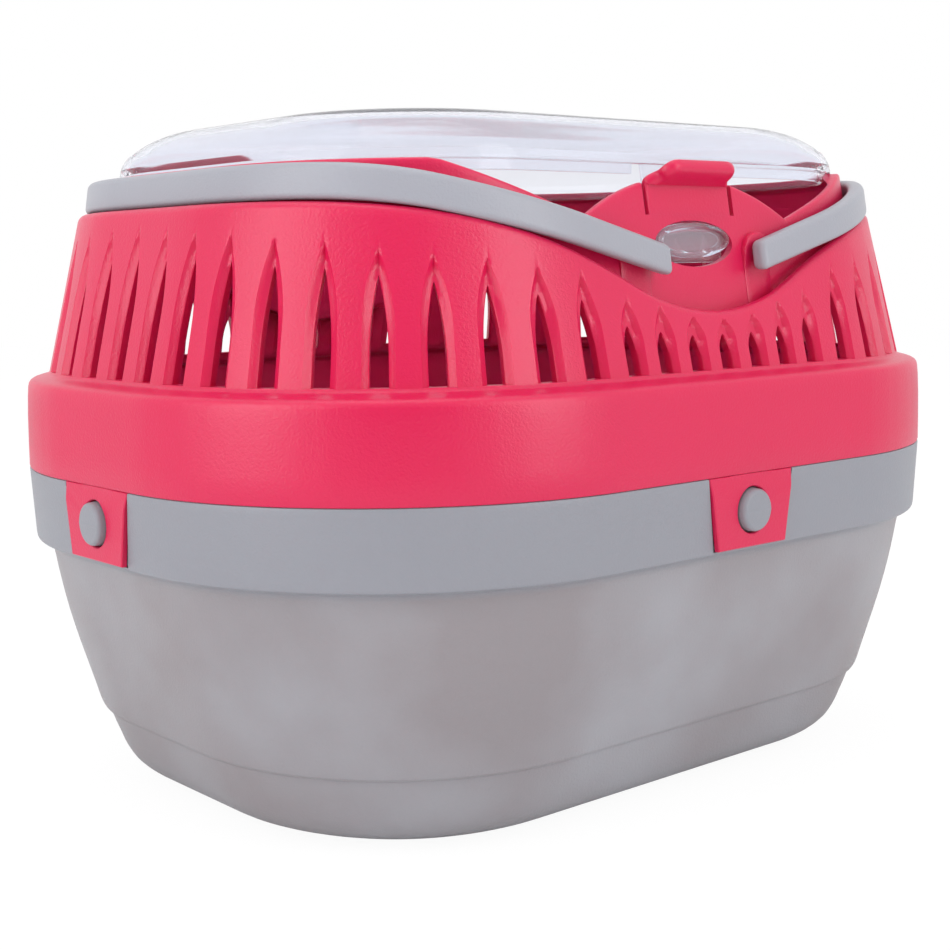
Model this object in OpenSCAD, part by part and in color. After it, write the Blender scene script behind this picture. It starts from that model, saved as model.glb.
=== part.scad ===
// Small-pet carrier: a tapered tub, a vented upper shell with four snap tabs, a clear hinged
// lid with a sprung catch, and two bail handles that fold down into a channel round the lid.
// Millimetres, +Z up, origin at the centre of the underside. The latch side faces -Y.

/* [Rim band] */
// Overall length over the rim band
body_len = 300; // [290:1:310]
// Overall width over the rim band
body_wid = 233; // [230:1:240]
// Corner radius of the rim band seen from above
corner_r = 95; // [88:1:96]

/* [Levels] */
// Height of the step above the foot of the tub
step_z = 21; // [18:1:24]
// Lower edge of the tub's rim band
band_z = 76; // [72:1:79]
// Seam between the tub and the upper shell
seam_z = 104; // [103:1:106]
// Ledge at the top of the shell's band
ledge_z = 132.5; // [131:0.5:134]
// Top of the vented wall at the ends, where the handles rest
wall_top_z = 183; // [182:0.5:184]
// Lowest point of the wall's wavy top, at the middle of the long sides
dip_z = 151; // [150:0.5:154]
// Rim of the inner collar that carries the lid
rim_z = 194; // [193.5:0.5:195]
// Top of the lid
lid_top_z = 209.5; // [208:0.5:212]

/* [Walls] */
// Wall thickness of the tub and the shell
wall_t = 2.4; // [2:0.1:2.8]
// Wall thickness of the inner collar
collar_t = 2.2; // [1.8:0.1:2.4]
// Wall thickness of the lid
lid_t = 1.8; // [1.4:0.1:2.2]

/* [Vents] */
// Pitch of the seven short vents under each dip
short_pitch = 13.1; // [12.6:0.1:13.6]
// Number of tall vents from the short ones to the middle of an end
tall_count = 11; // [9:1:12]
// Width of a vent's opening
vent_w = 6.2; // [4:0.1:7]
// Width of the sunk pocket round a vent
pocket_w = 9.6; // [8:0.1:10.5]
// Depth of the pocket
pocket_depth = 1.1; // [0.6:0.1:1.4]

/* [Handles] */
// Thickness of a handle's bar
handle_t = 5.4; // [4.6:0.1:6]
// Height of a handle's bar at its tips and at its far end
handle_h = [8.8, 9.9]; // [8:0.1:10.4]
// Distance from the middle of the carrier to each handle's pivots
pivot_x = 27; // [26:0.5:29]
// Radius of the handles' pivot pins
pin_r = 2.5; // [2:0.1:3]

/* [Latch] */
// Half width and half height of the window in the crest panel
window_size = [17, 6.8]; // [5:0.1:20]
// Half width and half height of the oval boss of the catch
boss_size = [15.4, 5.2]; // [4:0.1:18]
// Radius of the studs that hold the snap tabs
stud_r = 6.4; // [5:0.1:7]

/* [Hidden] */
$fn = 240;
beyond = 300;

// A plan is [half length, half width, corner radius] of a rounded rectangle.
body_plan = [body_len / 2, body_wid / 2, corner_r];
collar_plan = [119, 90, 65];
handle_plan = [125.6, 98.6, 73.6];

// Inset of each leaning wall per unit of height
tub_draft = 0.24;
foot_draft = 0.34;
wall_draft = 0.235;
collar_draft = 0.176;

// Tub, as insets from the rim band's outline
tub_top_inset = 6.5;
step_inset = tub_top_inset + (band_z - step_z) * tub_draft;
step_in = 2;
foot_r = 9;
band_inset = 1.4;
band_t = 2.6;
lip_r = 3;

// Shell
channel_depth = 3;
wall_base_inset = 7.2;
skirt_depth = 7;
skirt_in = 3.1;
skirt_t = 1.7;

// The wavy top: a valley arc between two crest arcs, all tangent
wave_half = 130;
valley_r = 75;
wave_drop = wall_top_z - dip_z;
wave_sum = (wave_half * wave_half + wave_drop * wave_drop) / (2 * wave_drop);
crest_r = wave_sum - valley_r;

// Seat that turns in from the rim
seat_in = 5;
seat_t = 2;

// Front of the collar's rim: two notches beside an arched crest panel
notch = [44.5, 178];
notch_top_x = 88;
arch_z = 190.5;
arch_r = (notch[0] * notch[0] + pow(arch_z - notch[1], 2)) / (2 * (arch_z - notch[1]));

// Tongue between the two slits of the crest panel, and its thumb lip
tongue_z = 179;
tongue_top_z = 189.5;
tongue_half = 18;
slit_w = 1.6;
lip_reach = 8.2;
lip_half = 13;
lip_tip_r = 3.5;
window_z = 170.6;

// Catch: a strip that hangs from the lid's front edge
boss_z = 171.6;
boss_proud = 0.8;
strip_half = 15.4;
strip_low_z = 165;
strip_gap = 0.6;
strip_t = 1.8;

// Handles
handle_draft = 0.15;
handle_rest_z = wall_top_z + 0.3;
handle_level_x = 118;
handle_arc_r = 110;
handle_slope = 14.4;
handle_end_x = 22;
pivot_z = 168;
pad_r = 6;
pad_y = 96;
pin_clear = 0.15;

// Lid: its shoulder is two tangent arcs
lid_inset = 3;
lid_low_r = 9;
lid_high_r = 38;
foot_t = 1.6;
foot_in = 2.8;
lid_skirt = [5.6, 7.2, 3];
lid_skirt_x = 92;
hinge = [collar_plan[1] + 1.1, 189.5];
hinge_bar_r = 2.5;
hinge_lug_r = 4;
hinge_clear = 0.25;
knuckle_r = 4.4;
knuckle_half = 12;
lug_half = [12.6, 16.6];

// Snap tabs
tab_half = [18.5, 15];
tab_z = 82.5;
tab_t = 2;
tab_proud = 0.8;
tab_gap = 0.3;
stud_z = 93.3;
stud_proud = 3.6;
stud_round = 1.4;

// ---- forms shared by the pieces ----

// Sweeps a profile round a plan. The profile's x is the offset from the outline and its y
// is height; the corners are quarter turns and the sides are straight.
module sweep(plan) {
    k = [plan[0] - plan[2], plan[1] - plan[2]];
    for (i = [0:3])
        translate([(i == 0 || i == 3 ? 1 : -1) * k[0], (i < 2 ? 1 : -1) * k[1], 0])
            rotate([0, 0, 90 * i])
                rotate_extrude(angle = 90)
                    translate([plan[2], 0])
                        children();
    for (i = [0:3])
        rotate([0, 0, 90 * i])
            translate([plan[i % 2], 0, 0])
                rotate([90, 0, 0])
                    linear_extrude(2 * k[1 - i % 2], center = true)
                        children();
}

// Fills the middle of a plan, inside what a profile reaching in to the corner axes covers
module core(plan, z0, z1) {
    translate([0, 0, z0])
        linear_extrude(z1 - z0)
            square([2 * (plan[0] - plan[2]), 2 * (plan[1] - plan[2])], center = true);
}

// Points on an arc about c from angle a to angle b
function arc_points(c, r, a, b, n = 6) =
    [for (i = [0:n]) c + r * [cos(a + (b - a) * i / n), sin(a + (b - a) * i / n)]];

// Extrudes a drawing of the X-Z plane from y0 to y1
module along_y(y0, y1) {
    translate([0, y1, 0])
        rotate([90, 0, 0])
            linear_extrude(y1 - y0)
                children();
}

// Extrudes a drawing of the Y-Z plane from x0 to x1
module along_x(x0, x1) {
    translate([x0, 0, 0])
        rotate([90, 0, 90])
            linear_extrude(x1 - x0)
                children();
}

module ellipse(size) {
    polygon([for (i = [0:47]) [size[0] * cos(i * 7.5), size[1] * sin(i * 7.5)]]);
}

module mirrored_x() {
    children();
    mirror([1, 0, 0])
        children();
}

module mirrored_y() {
    children();
    mirror([0, 1, 0])
        children();
}

// Outer face of the vented wall and of the collar, as offsets from their own plans
function wall_offset(z) = -wall_base_inset - (z - ledge_z) * wall_draft;
function collar_offset(z) = (rim_z - z) * collar_draft;

// Y of the collar's outer face at the middle of a long side
function collar_y(z) = collar_plan[1] + collar_offset(z);

// Everything above the wavy top of the vented wall, lowered by t
module above_wave(t = 0) {
    xi = (valley_r + t) * wave_half / wave_sum;
    zi = dip_z + valley_r - (valley_r + t) * (wave_sum - wave_drop) / wave_sum;
    difference() {
        polygon([[-wave_half, wall_top_z - t], [-xi, zi], [xi, zi],
            [wave_half, wall_top_z - t], [beyond, wall_top_z - t], [beyond, beyond],
            [-beyond, beyond], [-beyond, wall_top_z - t]]);
        for (s = [-1, 1])
            translate([s * wave_half, wall_top_z - crest_r])
                circle(crest_r - t);
    }
    intersection() {
        translate([0, dip_z + valley_r])
            circle(valley_r + t);
        translate([-valley_r, dip_z - t - 1])
            square([2 * valley_r, zi + 1.5 - dip_z + t]);
    }
}

// ---- tub ----

module tub_profile() {
    t = wall_t;
    foot = [-step_inset - step_in - (step_z - foot_r) * foot_draft - foot_r, foot_r];
    lip = [-band_inset - lip_r, band_z + lip_r];
    polygon(concat(
        [[-corner_r, 0]],
        arc_points(foot, foot_r, -90, 0),
        [[-step_inset - step_in, step_z - 1.5],
            [-step_inset - 0.5, step_z + 1],
            [-step_inset + 0.9, step_z + 3.8],
            [-tub_top_inset, band_z]],
        arc_points(lip, lip_r, -90, 0, 4),
        [[0, seam_z],
            [-band_t, seam_z],
            [-band_inset - band_t, band_z + t + 1],
            [-tub_top_inset - t, band_z + t],
            [-step_inset - t + 1, step_z + 4.4],
            [-step_inset - t - 1.4, step_z + 1]],
        arc_points(foot, foot_r - t, 0, -90),
        [[-corner_r, t]]
    ));
}

// Distance from the middle to the band's outline at the tab that a turn of angle brings to -Y
function reach(angle) = angle % 180 == 0 ? body_plan[1] : body_plan[0];

module tab_outline(grow = 0) {
    polygon([[-tab_half[0] - grow, seam_z], [tab_half[0] + grow, seam_z],
        [tab_half[1] + grow, tab_z - grow], [-tab_half[1] - grow, tab_z - grow]]);
}

module stud(distance) {
    root = distance - 2;
    translate([0, -root, stud_z])
        rotate([90, 0, 0]) {
            cylinder(r = stud_r, h = 2 + stud_proud - stud_round);
            translate([0, 0, 2 + stud_proud - stud_round])
                cylinder(r1 = stud_r, r2 = stud_r - stud_round, h = stud_round);
        }
}

module base_tub() color("#a9a8ad") {
    difference() {
        union() {
            sweep(body_plan)
                tub_profile();
            core(body_plan, 0, wall_t);
        }
        for (angle = [0:90:270])
            rotate([0, 0, angle])
                along_y(-reach(angle) - 5, -reach(angle) + tab_t - tab_proud + tab_gap)
                    tab_outline(tab_gap);
    }
    for (angle = [0:90:270])
        rotate([0, 0, angle])
            stud(reach(angle));
}

// ---- upper shell ----

// Band, ledge, vented wall and the skirt that drops inside the tub's band
module shell_profile() {
    t = wall_t;
    top = wall_top_z + 4;
    polygon([
        [0, seam_z],
        [-1, ledge_z - 4],
        [-2.2, ledge_z - 1.2],
        [-4.2, ledge_z],
        [-wall_base_inset, ledge_z + 0.6],
        [wall_offset(top), top],
        [wall_offset(top) - t, top],
        [-wall_base_inset - t, ledge_z - t + 1],
        [-skirt_in - skirt_t, ledge_z - t - 1],
        [-skirt_in - skirt_t, seam_z - skirt_depth],
        [-skirt_in, seam_z - skirt_depth],
        [-skirt_in, seam_z],
    ]);
}

vent_z = ledge_z + 1.6;
vent_plan = [for (size = body_plan) size - wall_base_inset];
vent_side = vent_plan[0] - vent_plan[2];
vent_turn = vent_plan[2] * PI / 2;
tall_pitch = (vent_side + vent_turn + vent_plan[1] - vent_plan[2] - 3 * short_pitch) / tall_count;

// Place of vent i along the front right quarter of the wall, from the middle of the front
function vent_place(i) = i <= 3 ? i * short_pitch : 3 * short_pitch + (i - 3) * tall_pitch;

// Height of the tip of vent i, following the wavy top
function vent_tip(i) = i <= 3 ? 144.2 + 0.4 * i * i
    : 156 + (i - 4) * 14.5 / (tall_count - 1);
// How much higher its pocket runs out
pocket_rise = 7.2;

// [x, y, direction of the wall's normal] at a distance s along the quarter
function vent_frame(s) =
    s < vent_side ? [s, -vent_plan[1], -90]
    : s < vent_side + vent_turn ?
        let(a = -90 + (s - vent_side) / vent_plan[2] * 180 / PI)
        [vent_side + vent_plan[2] * cos(a),
            vent_plan[2] - vent_plan[1] + vent_plan[2] * sin(a), a]
    : [vent_plan[0], vent_plan[2] - vent_plan[1] + s - vent_side - vent_turn, 0];

// Pointed arch of width w and height h on a flat sill: upright sides, then two arcs
module lancet(w, h) {
    spring = 0.35 * h;
    r = (pow(h - spring, 2) + w * w / 4) / w;
    translate([-w / 2, 0])
        square([w, spring]);
    intersection() {
        translate([r - w / 2, spring])
            circle(r);
        translate([w / 2 - r, spring])
            circle(r);
        translate([-w, spring])
            square([2 * w, h]);
    }
}

module vent(i) {
    f = vent_frame(vent_place(i));
    h = (vent_tip(i) - vent_z) * sqrt(1 + wall_draft * wall_draft);
    translate([f[0], f[1], vent_z])
        rotate([0, -atan(wall_draft), f[2]]) {
            along_x(-8, 5)
                lancet(vent_w, h);
            translate([0, 0, -1])
                along_x(-pocket_depth, 5)
                    lancet(pocket_w, h + pocket_rise);
        }
}

module vents() {
    last = 3 + tall_count;
    mirrored_y() {
        vent(0);
        mirrored_x()
            for (i = [1:last - 1])
                vent(i);
    }
    mirrored_x()
        vent(last);
}

module vented_wall() {
    difference() {
        sweep(body_plan)
            shell_profile();
        along_y(-beyond / 2, beyond / 2)
            above_wave();
        vents();
    }
}

// Floor of the handles' channel, a skin below the wavy top from the wall to the collar
module channel_floor() {
    z0 = dip_z - 10;
    z1 = wall_top_z + 2;
    difference() {
        intersection() {
            sweep(body_plan)
                polygon([[-36, z0], [wall_offset(z0) - 1, z0], [wall_offset(z1) - 1, z1], [-36, z1]]);
            along_y(-beyond / 2, beyond / 2)
                difference() {
                    above_wave(channel_depth + wall_t);
                    above_wave(channel_depth);
                }
        }
        collar_inside(z0 - 1, z1 + 1);
    }
}

// Space within the collar's inner face
module collar_inside(z0, z1) {
    sweep(collar_plan)
        polygon([[-collar_plan[2], z0], [collar_offset(z0) - collar_t, z0],
            [collar_offset(z1) - collar_t, z1], [-collar_plan[2], z1]]);
    core(collar_plan, z0, z1);
}

module collar_wall(z0, z1) {
    sweep(collar_plan)
        polygon([[collar_offset(z0) - collar_t, z0], [collar_offset(z0), z0],
            [collar_offset(z1), z1], [collar_offset(z1) - collar_t, z1]]);
}

// Seat for the lid's foot, turned in from the rim
module rim_seat() {
    sweep(collar_plan)
        polygon([[-collar_t / 2, rim_z - seat_t - 2], [-collar_t / 2, rim_z], [-seat_in, rim_z],
            [-seat_in, rim_z - seat_t], [-collar_t, rim_z - seat_t - 2]]);
}

// Cut that shapes the front of the rim: a notch each side of the arched crest panel
module rim_cut() {
    difference() {
        polygon([[-notch_top_x, rim_z], [-notch[0], notch[1]], notch, [notch_top_x, rim_z],
            [notch_top_x, rim_z + 20], [-notch_top_x, rim_z + 20]]);
        translate([0, arch_z - arch_r])
            circle(arch_r);
    }
}

module tongue_outline(half, top) {
    translate([-half, tongue_z])
        square([2 * half, top - tongue_z]);
}

module collar() {
    difference() {
        union() {
            intersection() {
                collar_wall(dip_z - 8, rim_z);
                along_y(-beyond / 2, beyond / 2)
                    above_wave(channel_depth + wall_t);
            }
            rim_seat();
        }
        along_y(-beyond / 2, -20) {
            rim_cut();
            translate([0, window_z])
                ellipse(window_size);
            tongue_outline(tongue_half + slit_w, tongue_top_z + 3);
        }
        along_y(60, beyond / 2)
            translate([-lug_half[0], hinge[1] - 6])
                square([2 * lug_half[0], 20]);
    }
}

// Round-topped pad that carries a handle's pin, standing proud of the collar
module pivot_pad() {
    inner = collar_y(pivot_z + pad_r) - 1.2;
    foot_z = dip_z - channel_depth;
    intersection() {
        along_x(pivot_x - pad_r, pivot_x + pad_r)
            polygon([[inner, pivot_z + pad_r], [pad_y, pivot_z + pad_r], [pad_y, pivot_z - 7.5],
                [pad_y + 2, foot_z], [inner + 4, foot_z], [inner + 2, pivot_z - 7.5]]);
        along_y(20, beyond / 2) {
            translate([pivot_x, pivot_z])
                circle(pad_r);
            translate([pivot_x - pad_r, foot_z])
                square([2 * pad_r, pivot_z - foot_z]);
        }
        along_y(20, beyond / 2)
            above_wave(channel_depth + wall_t / 2);
    }
}

module pivot_hole() {
    translate([pivot_x, 0, pivot_z])
        rotate([-90, 0, 0])
            translate([0, 0, collar_plan[1] - 8])
                cylinder(r = pin_r + pin_clear, h = 20);
}

module hinge_lugs() {
    mirrored_x()
        translate([lug_half[0], hinge[0], hinge[1]])
            rotate([0, 90, 0])
                cylinder(r = hinge_lug_r, h = lug_half[1] - lug_half[0]);
    translate([-lug_half[0] - 1, hinge[0], hinge[1]])
        rotate([0, 90, 0])
            cylinder(r = hinge_bar_r, h = 2 * lug_half[0] + 2);
}

module upper_shell() color("#e6375f") {
    difference() {
        union() {
            vented_wall();
            channel_floor();
            collar();
            mirrored_x()
                mirrored_y()
                    pivot_pad();
        }
        mirrored_x()
            mirrored_y()
                pivot_hole();
    }
    hinge_lugs();
}

// ---- snap tabs ----

module clip(angle) color("#e6375f") {
    distance = reach(angle);
    rotate([0, 0, angle])
        difference() {
            along_y(-distance - tab_proud, -distance - tab_proud + tab_t)
                tab_outline();
            translate([0, -distance - 5, stud_z])
                rotate([-90, 0, 0])
                    cylinder(r = stud_r + 0.5, h = 10);
        }
}

// ---- thumb latch ----

module lip_profile() {
    y0 = -collar_y(tongue_top_z - 3);
    c = [y0 - 7.5, tongue_top_z - 3];
    tip = [-collar_plan[1] - lip_reach, rim_z - 1.5];
    polygon(concat(
        [[y0 + collar_t, tongue_top_z - 3], [y0, tongue_top_z - 3]],
        arc_points(c, 7.5, 8, 66, 5),
        [tip,
            tip + [-0.9, 1],
            tip + [0, 2.6],
            [y0 - 2.6, rim_z + 2],
            [y0 - 0.6, rim_z - 0.8],
            [y0 + 1.6, rim_z - 4]]
    ));
}

// Plan of the thumb lip: it narrows from the tongue to a rounded tip
module lip_plan() {
    y_root = -collar_y(tongue_top_z);
    y_tip = -collar_plan[1] - lip_reach - 0.9;
    fillet = tongue_half - lip_half;
    r = lip_tip_r;
    polygon(concat(
        [[-tongue_half, y_root + 6]],
        arc_points([-tongue_half, y_root - fillet], fillet, 90, 0, 5),
        arc_points([-lip_half + r, y_tip + r], r, 180, 270, 5),
        arc_points([lip_half - r, y_tip + r], r, 270, 360, 5),
        arc_points([tongue_half, y_root - fillet], fillet, 180, 90, 5),
        [[tongue_half, y_root + 6]]
    ));
}

module thumb_latch() color("#e6375f") {
    intersection() {
        collar_wall(tongue_z, tongue_top_z);
        along_y(-beyond / 2, -20)
            tongue_outline(tongue_half, tongue_top_z);
    }
    intersection() {
        along_x(-tongue_half, tongue_half)
            lip_profile();
        translate([0, 0, tongue_z])
            linear_extrude(30)
                lip_plan();
    }
}

// ---- lid ----

module lid_profile() {
    dx = sqrt(pow(lid_high_r - lid_low_r, 2) - pow(lid_top_z - lid_high_r - rim_z - 0.5, 2));
    low = [-lid_inset - lid_low_r, rim_z + 0.5];
    high = [low[0] - dx, lid_top_z - lid_high_r];
    turn = atan2(low[1] - high[1], low[0] - high[0]);
    polygon(concat(
        [[-foot_in, rim_z], [-foot_in, rim_z + foot_t], [-lid_inset, rim_z + foot_t]],
        arc_points(low, lid_low_r, 12, turn, 5),
        arc_points(high, lid_high_r, turn + 6, 90, 5),
        [[-collar_plan[2], lid_top_z], [-collar_plan[2], lid_top_z - lid_t]],
        arc_points(high, lid_high_r - lid_t, 90, turn + 6, 5),
        arc_points(low, lid_low_r - lid_t, turn, 20, 5),
        [[-lid_skirt[1], rim_z + foot_t], [-lid_skirt[1], rim_z - lid_skirt[2]],
            [-lid_skirt[0], rim_z - lid_skirt[2]], [-lid_skirt[0], rim_z]]
    ));
}

module lid_knuckle() {
    difference() {
        union() {
            along_x(-knuckle_half, knuckle_half) {
                translate(hinge)
                    circle(knuckle_r);
                translate([hinge[0] - 4.2, hinge[1] + 1])
                    square([4.2, rim_z + foot_t - hinge[1] - 1]);
            }
        }
        along_x(-knuckle_half - 1, knuckle_half + 1) {
            translate(hinge)
                circle(hinge_bar_r + hinge_clear);
            translate([hinge[0] - 1.9, hinge[1] - 6])
                square([3.8, 6]);
        }
    }
}

module clear_lid() color("#dfe6ee", 0.5) {
    difference() {
        union() {
            sweep(collar_plan)
                lid_profile();
            core(collar_plan, lid_top_z - lid_t, lid_top_z);
        }
        translate([-strip_half - 1.2, -collar_plan[1] - 1, rim_z - lid_skirt[2] - 1])
            cube([2 * strip_half + 2.4, 10, lid_skirt[2] + 1]);
        translate([-lid_skirt_x, collar_plan[1] - 70, rim_z - lid_skirt[2] - 1])
            cube([2 * lid_skirt_x, 80, lid_skirt[2] + 1]);
    }
    lid_knuckle();
}

// ---- catch ----

// Y of the strip's outer face, inside the crest panel
function strip_y(z) = -collar_y(z) + collar_t + strip_gap;

module lid_catch() color("#dfe6ee", 0.5) {
    intersection() {
        along_x(-strip_half, strip_half)
            polygon([[strip_y(rim_z), rim_z], [strip_y(strip_low_z), strip_low_z],
                [strip_y(strip_low_z) + strip_t, strip_low_z], [strip_y(rim_z) + strip_t, rim_z]]);
        along_y(-beyond / 2, 0)
            translate([-strip_half, strip_low_z])
                square([2 * strip_half, rim_z - strip_low_z]);
    }
    difference() {
        translate([0, 0, boss_z])
            along_y(-collar_y(boss_z) - boss_proud, strip_y(boss_z) + 1)
                ellipse(boss_size);
        translate([0, 0, boss_z])
            along_y(-collar_y(boss_z) - boss_proud - 1, -collar_y(boss_z))
                ellipse(boss_size - [1.6, 1.6]);
    }
}

// ---- handles ----

// Side view of the left handle: it lies level round the end and slopes down to its tips
module handle_side() {
    arc = arc_points([-handle_level_x, handle_rest_z - handle_arc_r], handle_arc_r,
        90, 90 - handle_slope);
    foot = arc[len(arc) - 1];
    tip = foot + (-handle_end_x - foot[0]) * [1, -tan(handle_slope)];
    r = 2.4;
    lift = [0, handle_h[0]];
    polygon(concat(
        [[-beyond, handle_rest_z]],
        arc,
        arc_points(tip + [-r, r], r, -90, 0, 4),
        arc_points(tip + lift + [-r, -r], r, 0, 90, 4),
        [for (i = [len(arc) - 1:-1:0]) arc[i] + [0, handle_h[1] - 0.03 * i]],
        [[-beyond, handle_rest_z + handle_h[1]]]
    ));
}

module left_handle_solid() {
    z0 = pivot_z - 10;
    z1 = handle_rest_z + handle_h[1] + 3;
    outer0 = (rim_z - z0) * handle_draft;
    outer1 = (rim_z - z1) * handle_draft;
    inner_y = handle_plan[1] - handle_t + (rim_z - pivot_z) * handle_draft;
    intersection() {
        sweep(handle_plan)
            polygon([[outer0 - handle_t, z0], [outer0, z0], [outer1, z1], [outer1 - handle_t, z1]]);
        along_y(-beyond / 2, beyond / 2)
            handle_side();
    }
    mirrored_y()
        translate([-pivot_x, 0, pivot_z])
            rotate([-90, 0, 0])
                translate([0, 0, collar_y(pivot_z) - collar_t - 1])
                    cylinder(r = pin_r, h = inner_y - collar_y(pivot_z) + collar_t + 3);
}

module left_handle() color("#b9bec3")
    left_handle_solid();

module right_handle() color("#b9bec3")
    mirror([1, 0, 0])
        left_handle_solid();

base_tub();
upper_shell();
clip(0);  // front_clip
clip(180);  // rear_clip
clip(270);  // left_clip
clip(90);  // right_clip
thumb_latch();
clear_lid();
lid_catch();
left_handle();
right_handle();
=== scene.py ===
"""Small-pet carrier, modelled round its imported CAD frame.

A moulded tub, a vented upper shell with four snap tabs, a clear hinged lid with a sprung
catch, and two bail handles. Every surface is a grid worked out with numpy, in millimetres,
and is turned to metres when its mesh is made. The latch side faces -Y.
"""

import logging
import math
from dataclasses import dataclass, field
from enum import Enum

import bmesh
import bpy
import numpy as np
from mathutils import Matrix
from numpy.typing import NDArray

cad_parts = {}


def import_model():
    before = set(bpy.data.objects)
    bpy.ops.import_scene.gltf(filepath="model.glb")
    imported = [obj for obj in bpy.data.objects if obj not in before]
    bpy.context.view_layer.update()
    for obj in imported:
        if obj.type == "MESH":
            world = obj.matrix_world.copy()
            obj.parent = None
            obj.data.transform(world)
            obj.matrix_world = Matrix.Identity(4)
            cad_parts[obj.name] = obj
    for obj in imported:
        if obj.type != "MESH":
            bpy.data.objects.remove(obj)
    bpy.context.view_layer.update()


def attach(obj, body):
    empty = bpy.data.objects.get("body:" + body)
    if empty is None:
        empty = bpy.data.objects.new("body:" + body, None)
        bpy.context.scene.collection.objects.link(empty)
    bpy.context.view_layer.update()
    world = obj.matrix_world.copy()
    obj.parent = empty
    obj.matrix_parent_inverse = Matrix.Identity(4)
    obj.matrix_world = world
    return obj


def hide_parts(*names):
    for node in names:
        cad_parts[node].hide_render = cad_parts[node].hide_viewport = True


Array = NDArray[np.float64]
Mask = NDArray[np.bool_]
Faces = NDArray[np.int64]
Grid = tuple[Array, Faces]

LOG = logging.getLogger("carrier")
MM = 0.001
# Edges that turn by less than this are shaded smooth, and points nearer than this are one.
SMOOTH_ANGLE = math.radians(38)
MERGE = 2e-6


# ---- forms worked out as whole arrays ----


@dataclass(frozen=True)
class Track:
    """Where columns stand on a plan: side factors a and b, and the turn of the outward normal."""

    a: Array
    b: Array
    turn: Array


@dataclass(frozen=True)
class Plan:
    """A rounded rectangle seen from above, in millimetres."""

    half_x: float
    half_y: float
    radius: float

    @property
    def straight(self) -> tuple[float, float]:
        """Half lengths of the straight sides along X and along Y."""
        return self.half_x - self.radius, self.half_y - self.radius

    @property
    def quarter(self) -> float:
        """Length of a quarter of the outline."""
        kx, ky = self.straight
        return kx + ky + self.radius * math.pi / 2

    def walk(self, s: Array) -> Track:
        """Finds columns from their arc lengths.

        The factors and the turn are piecewise linear in arc length, which starts at the
        middle of the front and runs towards +X.

        Args:
            s: arc lengths, of any shape, taken round the outline.

        Returns:
            The columns' track, of the same shape.
        """
        kx, ky = self.straight
        bend = self.radius * math.pi / 2
        steps = [0, kx, bend, 2 * ky, bend, 2 * kx, bend, 2 * ky, bend, kx]
        knots = np.cumsum(steps)
        s = np.mod(s, knots[-1])
        a = np.interp(s, knots, [0, 1, 1, 1, 1, -1, -1, -1, -1, 0])
        b = np.interp(s, knots, [-1, -1, -1, 1, 1, 1, 1, -1, -1, -1])
        turn = np.interp(s, knots, [-90, -90, 0, 0, 90, 90, 180, 180, 270, 270])
        return Track(a, b, np.radians(turn))

    def place(self, track: Track, offset: Array | float, z: Array | float) -> Array:
        """Points at an outward offset from the outline, at a height.

        Args:
            track: the columns.
            offset: distance outwards from the outline.
            z: height.

        Returns:
            Points, with the last axis of length 3.
        """
        kx, ky = self.straight
        r = self.radius + np.asarray(offset, float)
        x = track.a * kx + r * np.cos(track.turn)
        y = track.b * ky + r * np.sin(track.turn)
        return np.stack(np.broadcast_arrays(x, y, np.asarray(z, float)), -1)


def even(count: int) -> Array:
    """Numbers from 0 to just under 1, for columns that go all the way round."""
    return np.arange(count) / count


def smooth(t: Array) -> Array:
    """Eases 0 to 1 with level ends, by the cubic 3t^2 - 2t^3."""
    t = np.clip(t, 0, 1)
    return t * t * (3 - 2 * t)


def quarter_round(t: Array) -> Array:
    """Rises from 0 to 1 along a quarter circle that starts upright."""
    return np.sqrt(1 - (1 - np.clip(t, 0, 1)) ** 2)


def lancet(t: Array, spring: float) -> Array:
    """Width of a pointed arch at a height, which falls with the square above its spring."""
    rise = np.clip((t - spring) / (1 - spring), 0, 1)
    return 1 - rise * rise


def quads(rows: int, cols: int, wrap_rows: bool, wrap_cols: bool) -> Faces:
    """Numbers the corners of every cell of a grid.

    Args:
        rows: rows of points.
        cols: columns of points.
        wrap_rows: whether the last row joins the first.
        wrap_cols: whether the last column joins the first.

    Returns:
        Corner numbers, rows by columns by 4.
    """
    i, j = np.meshgrid(
        np.arange(rows if wrap_rows else rows - 1),
        np.arange(cols if wrap_cols else cols - 1),
        indexing="ij",
    )
    up, on = (i + 1) % rows, (j + 1) % cols
    return np.stack([i * cols + j, i * cols + on, up * cols + on, up * cols + j], -1)


def add_part(bm: bmesh.types.BMesh, points: Array, faces: list[list[int]]) -> None:
    """Adds points and their faces to a surface.

    Args:
        bm: the surface.
        points: points in millimetres.
        faces: corner numbers of each face.
    """
    part = bpy.data.meshes.new("part")
    part.from_pydata((points.reshape(-1, 3) * MM).tolist(), [], faces)
    bm.from_mesh(part)
    bpy.data.meshes.remove(part)


def link_piece(name: str, bm: bmesh.types.BMesh) -> bpy.types.Object:
    """Makes an object of a surface, with its faces outwards and smooth but at sharp edges.

    Args:
        name: the piece's name.
        bm: the surface, which is freed.

    Returns:
        The object, with its place in its mesh.
    """
    bmesh.ops.recalc_face_normals(bm, faces=bm.faces)
    mesh = bpy.data.meshes.new(name)
    bm.to_mesh(mesh)
    bm.free()
    mesh.shade_smooth()
    mesh.set_sharp_from_angle(angle=SMOOTH_ANGLE)
    piece = bpy.data.objects.new(name, mesh)
    bpy.context.scene.collection.objects.link(piece)
    return piece


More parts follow.
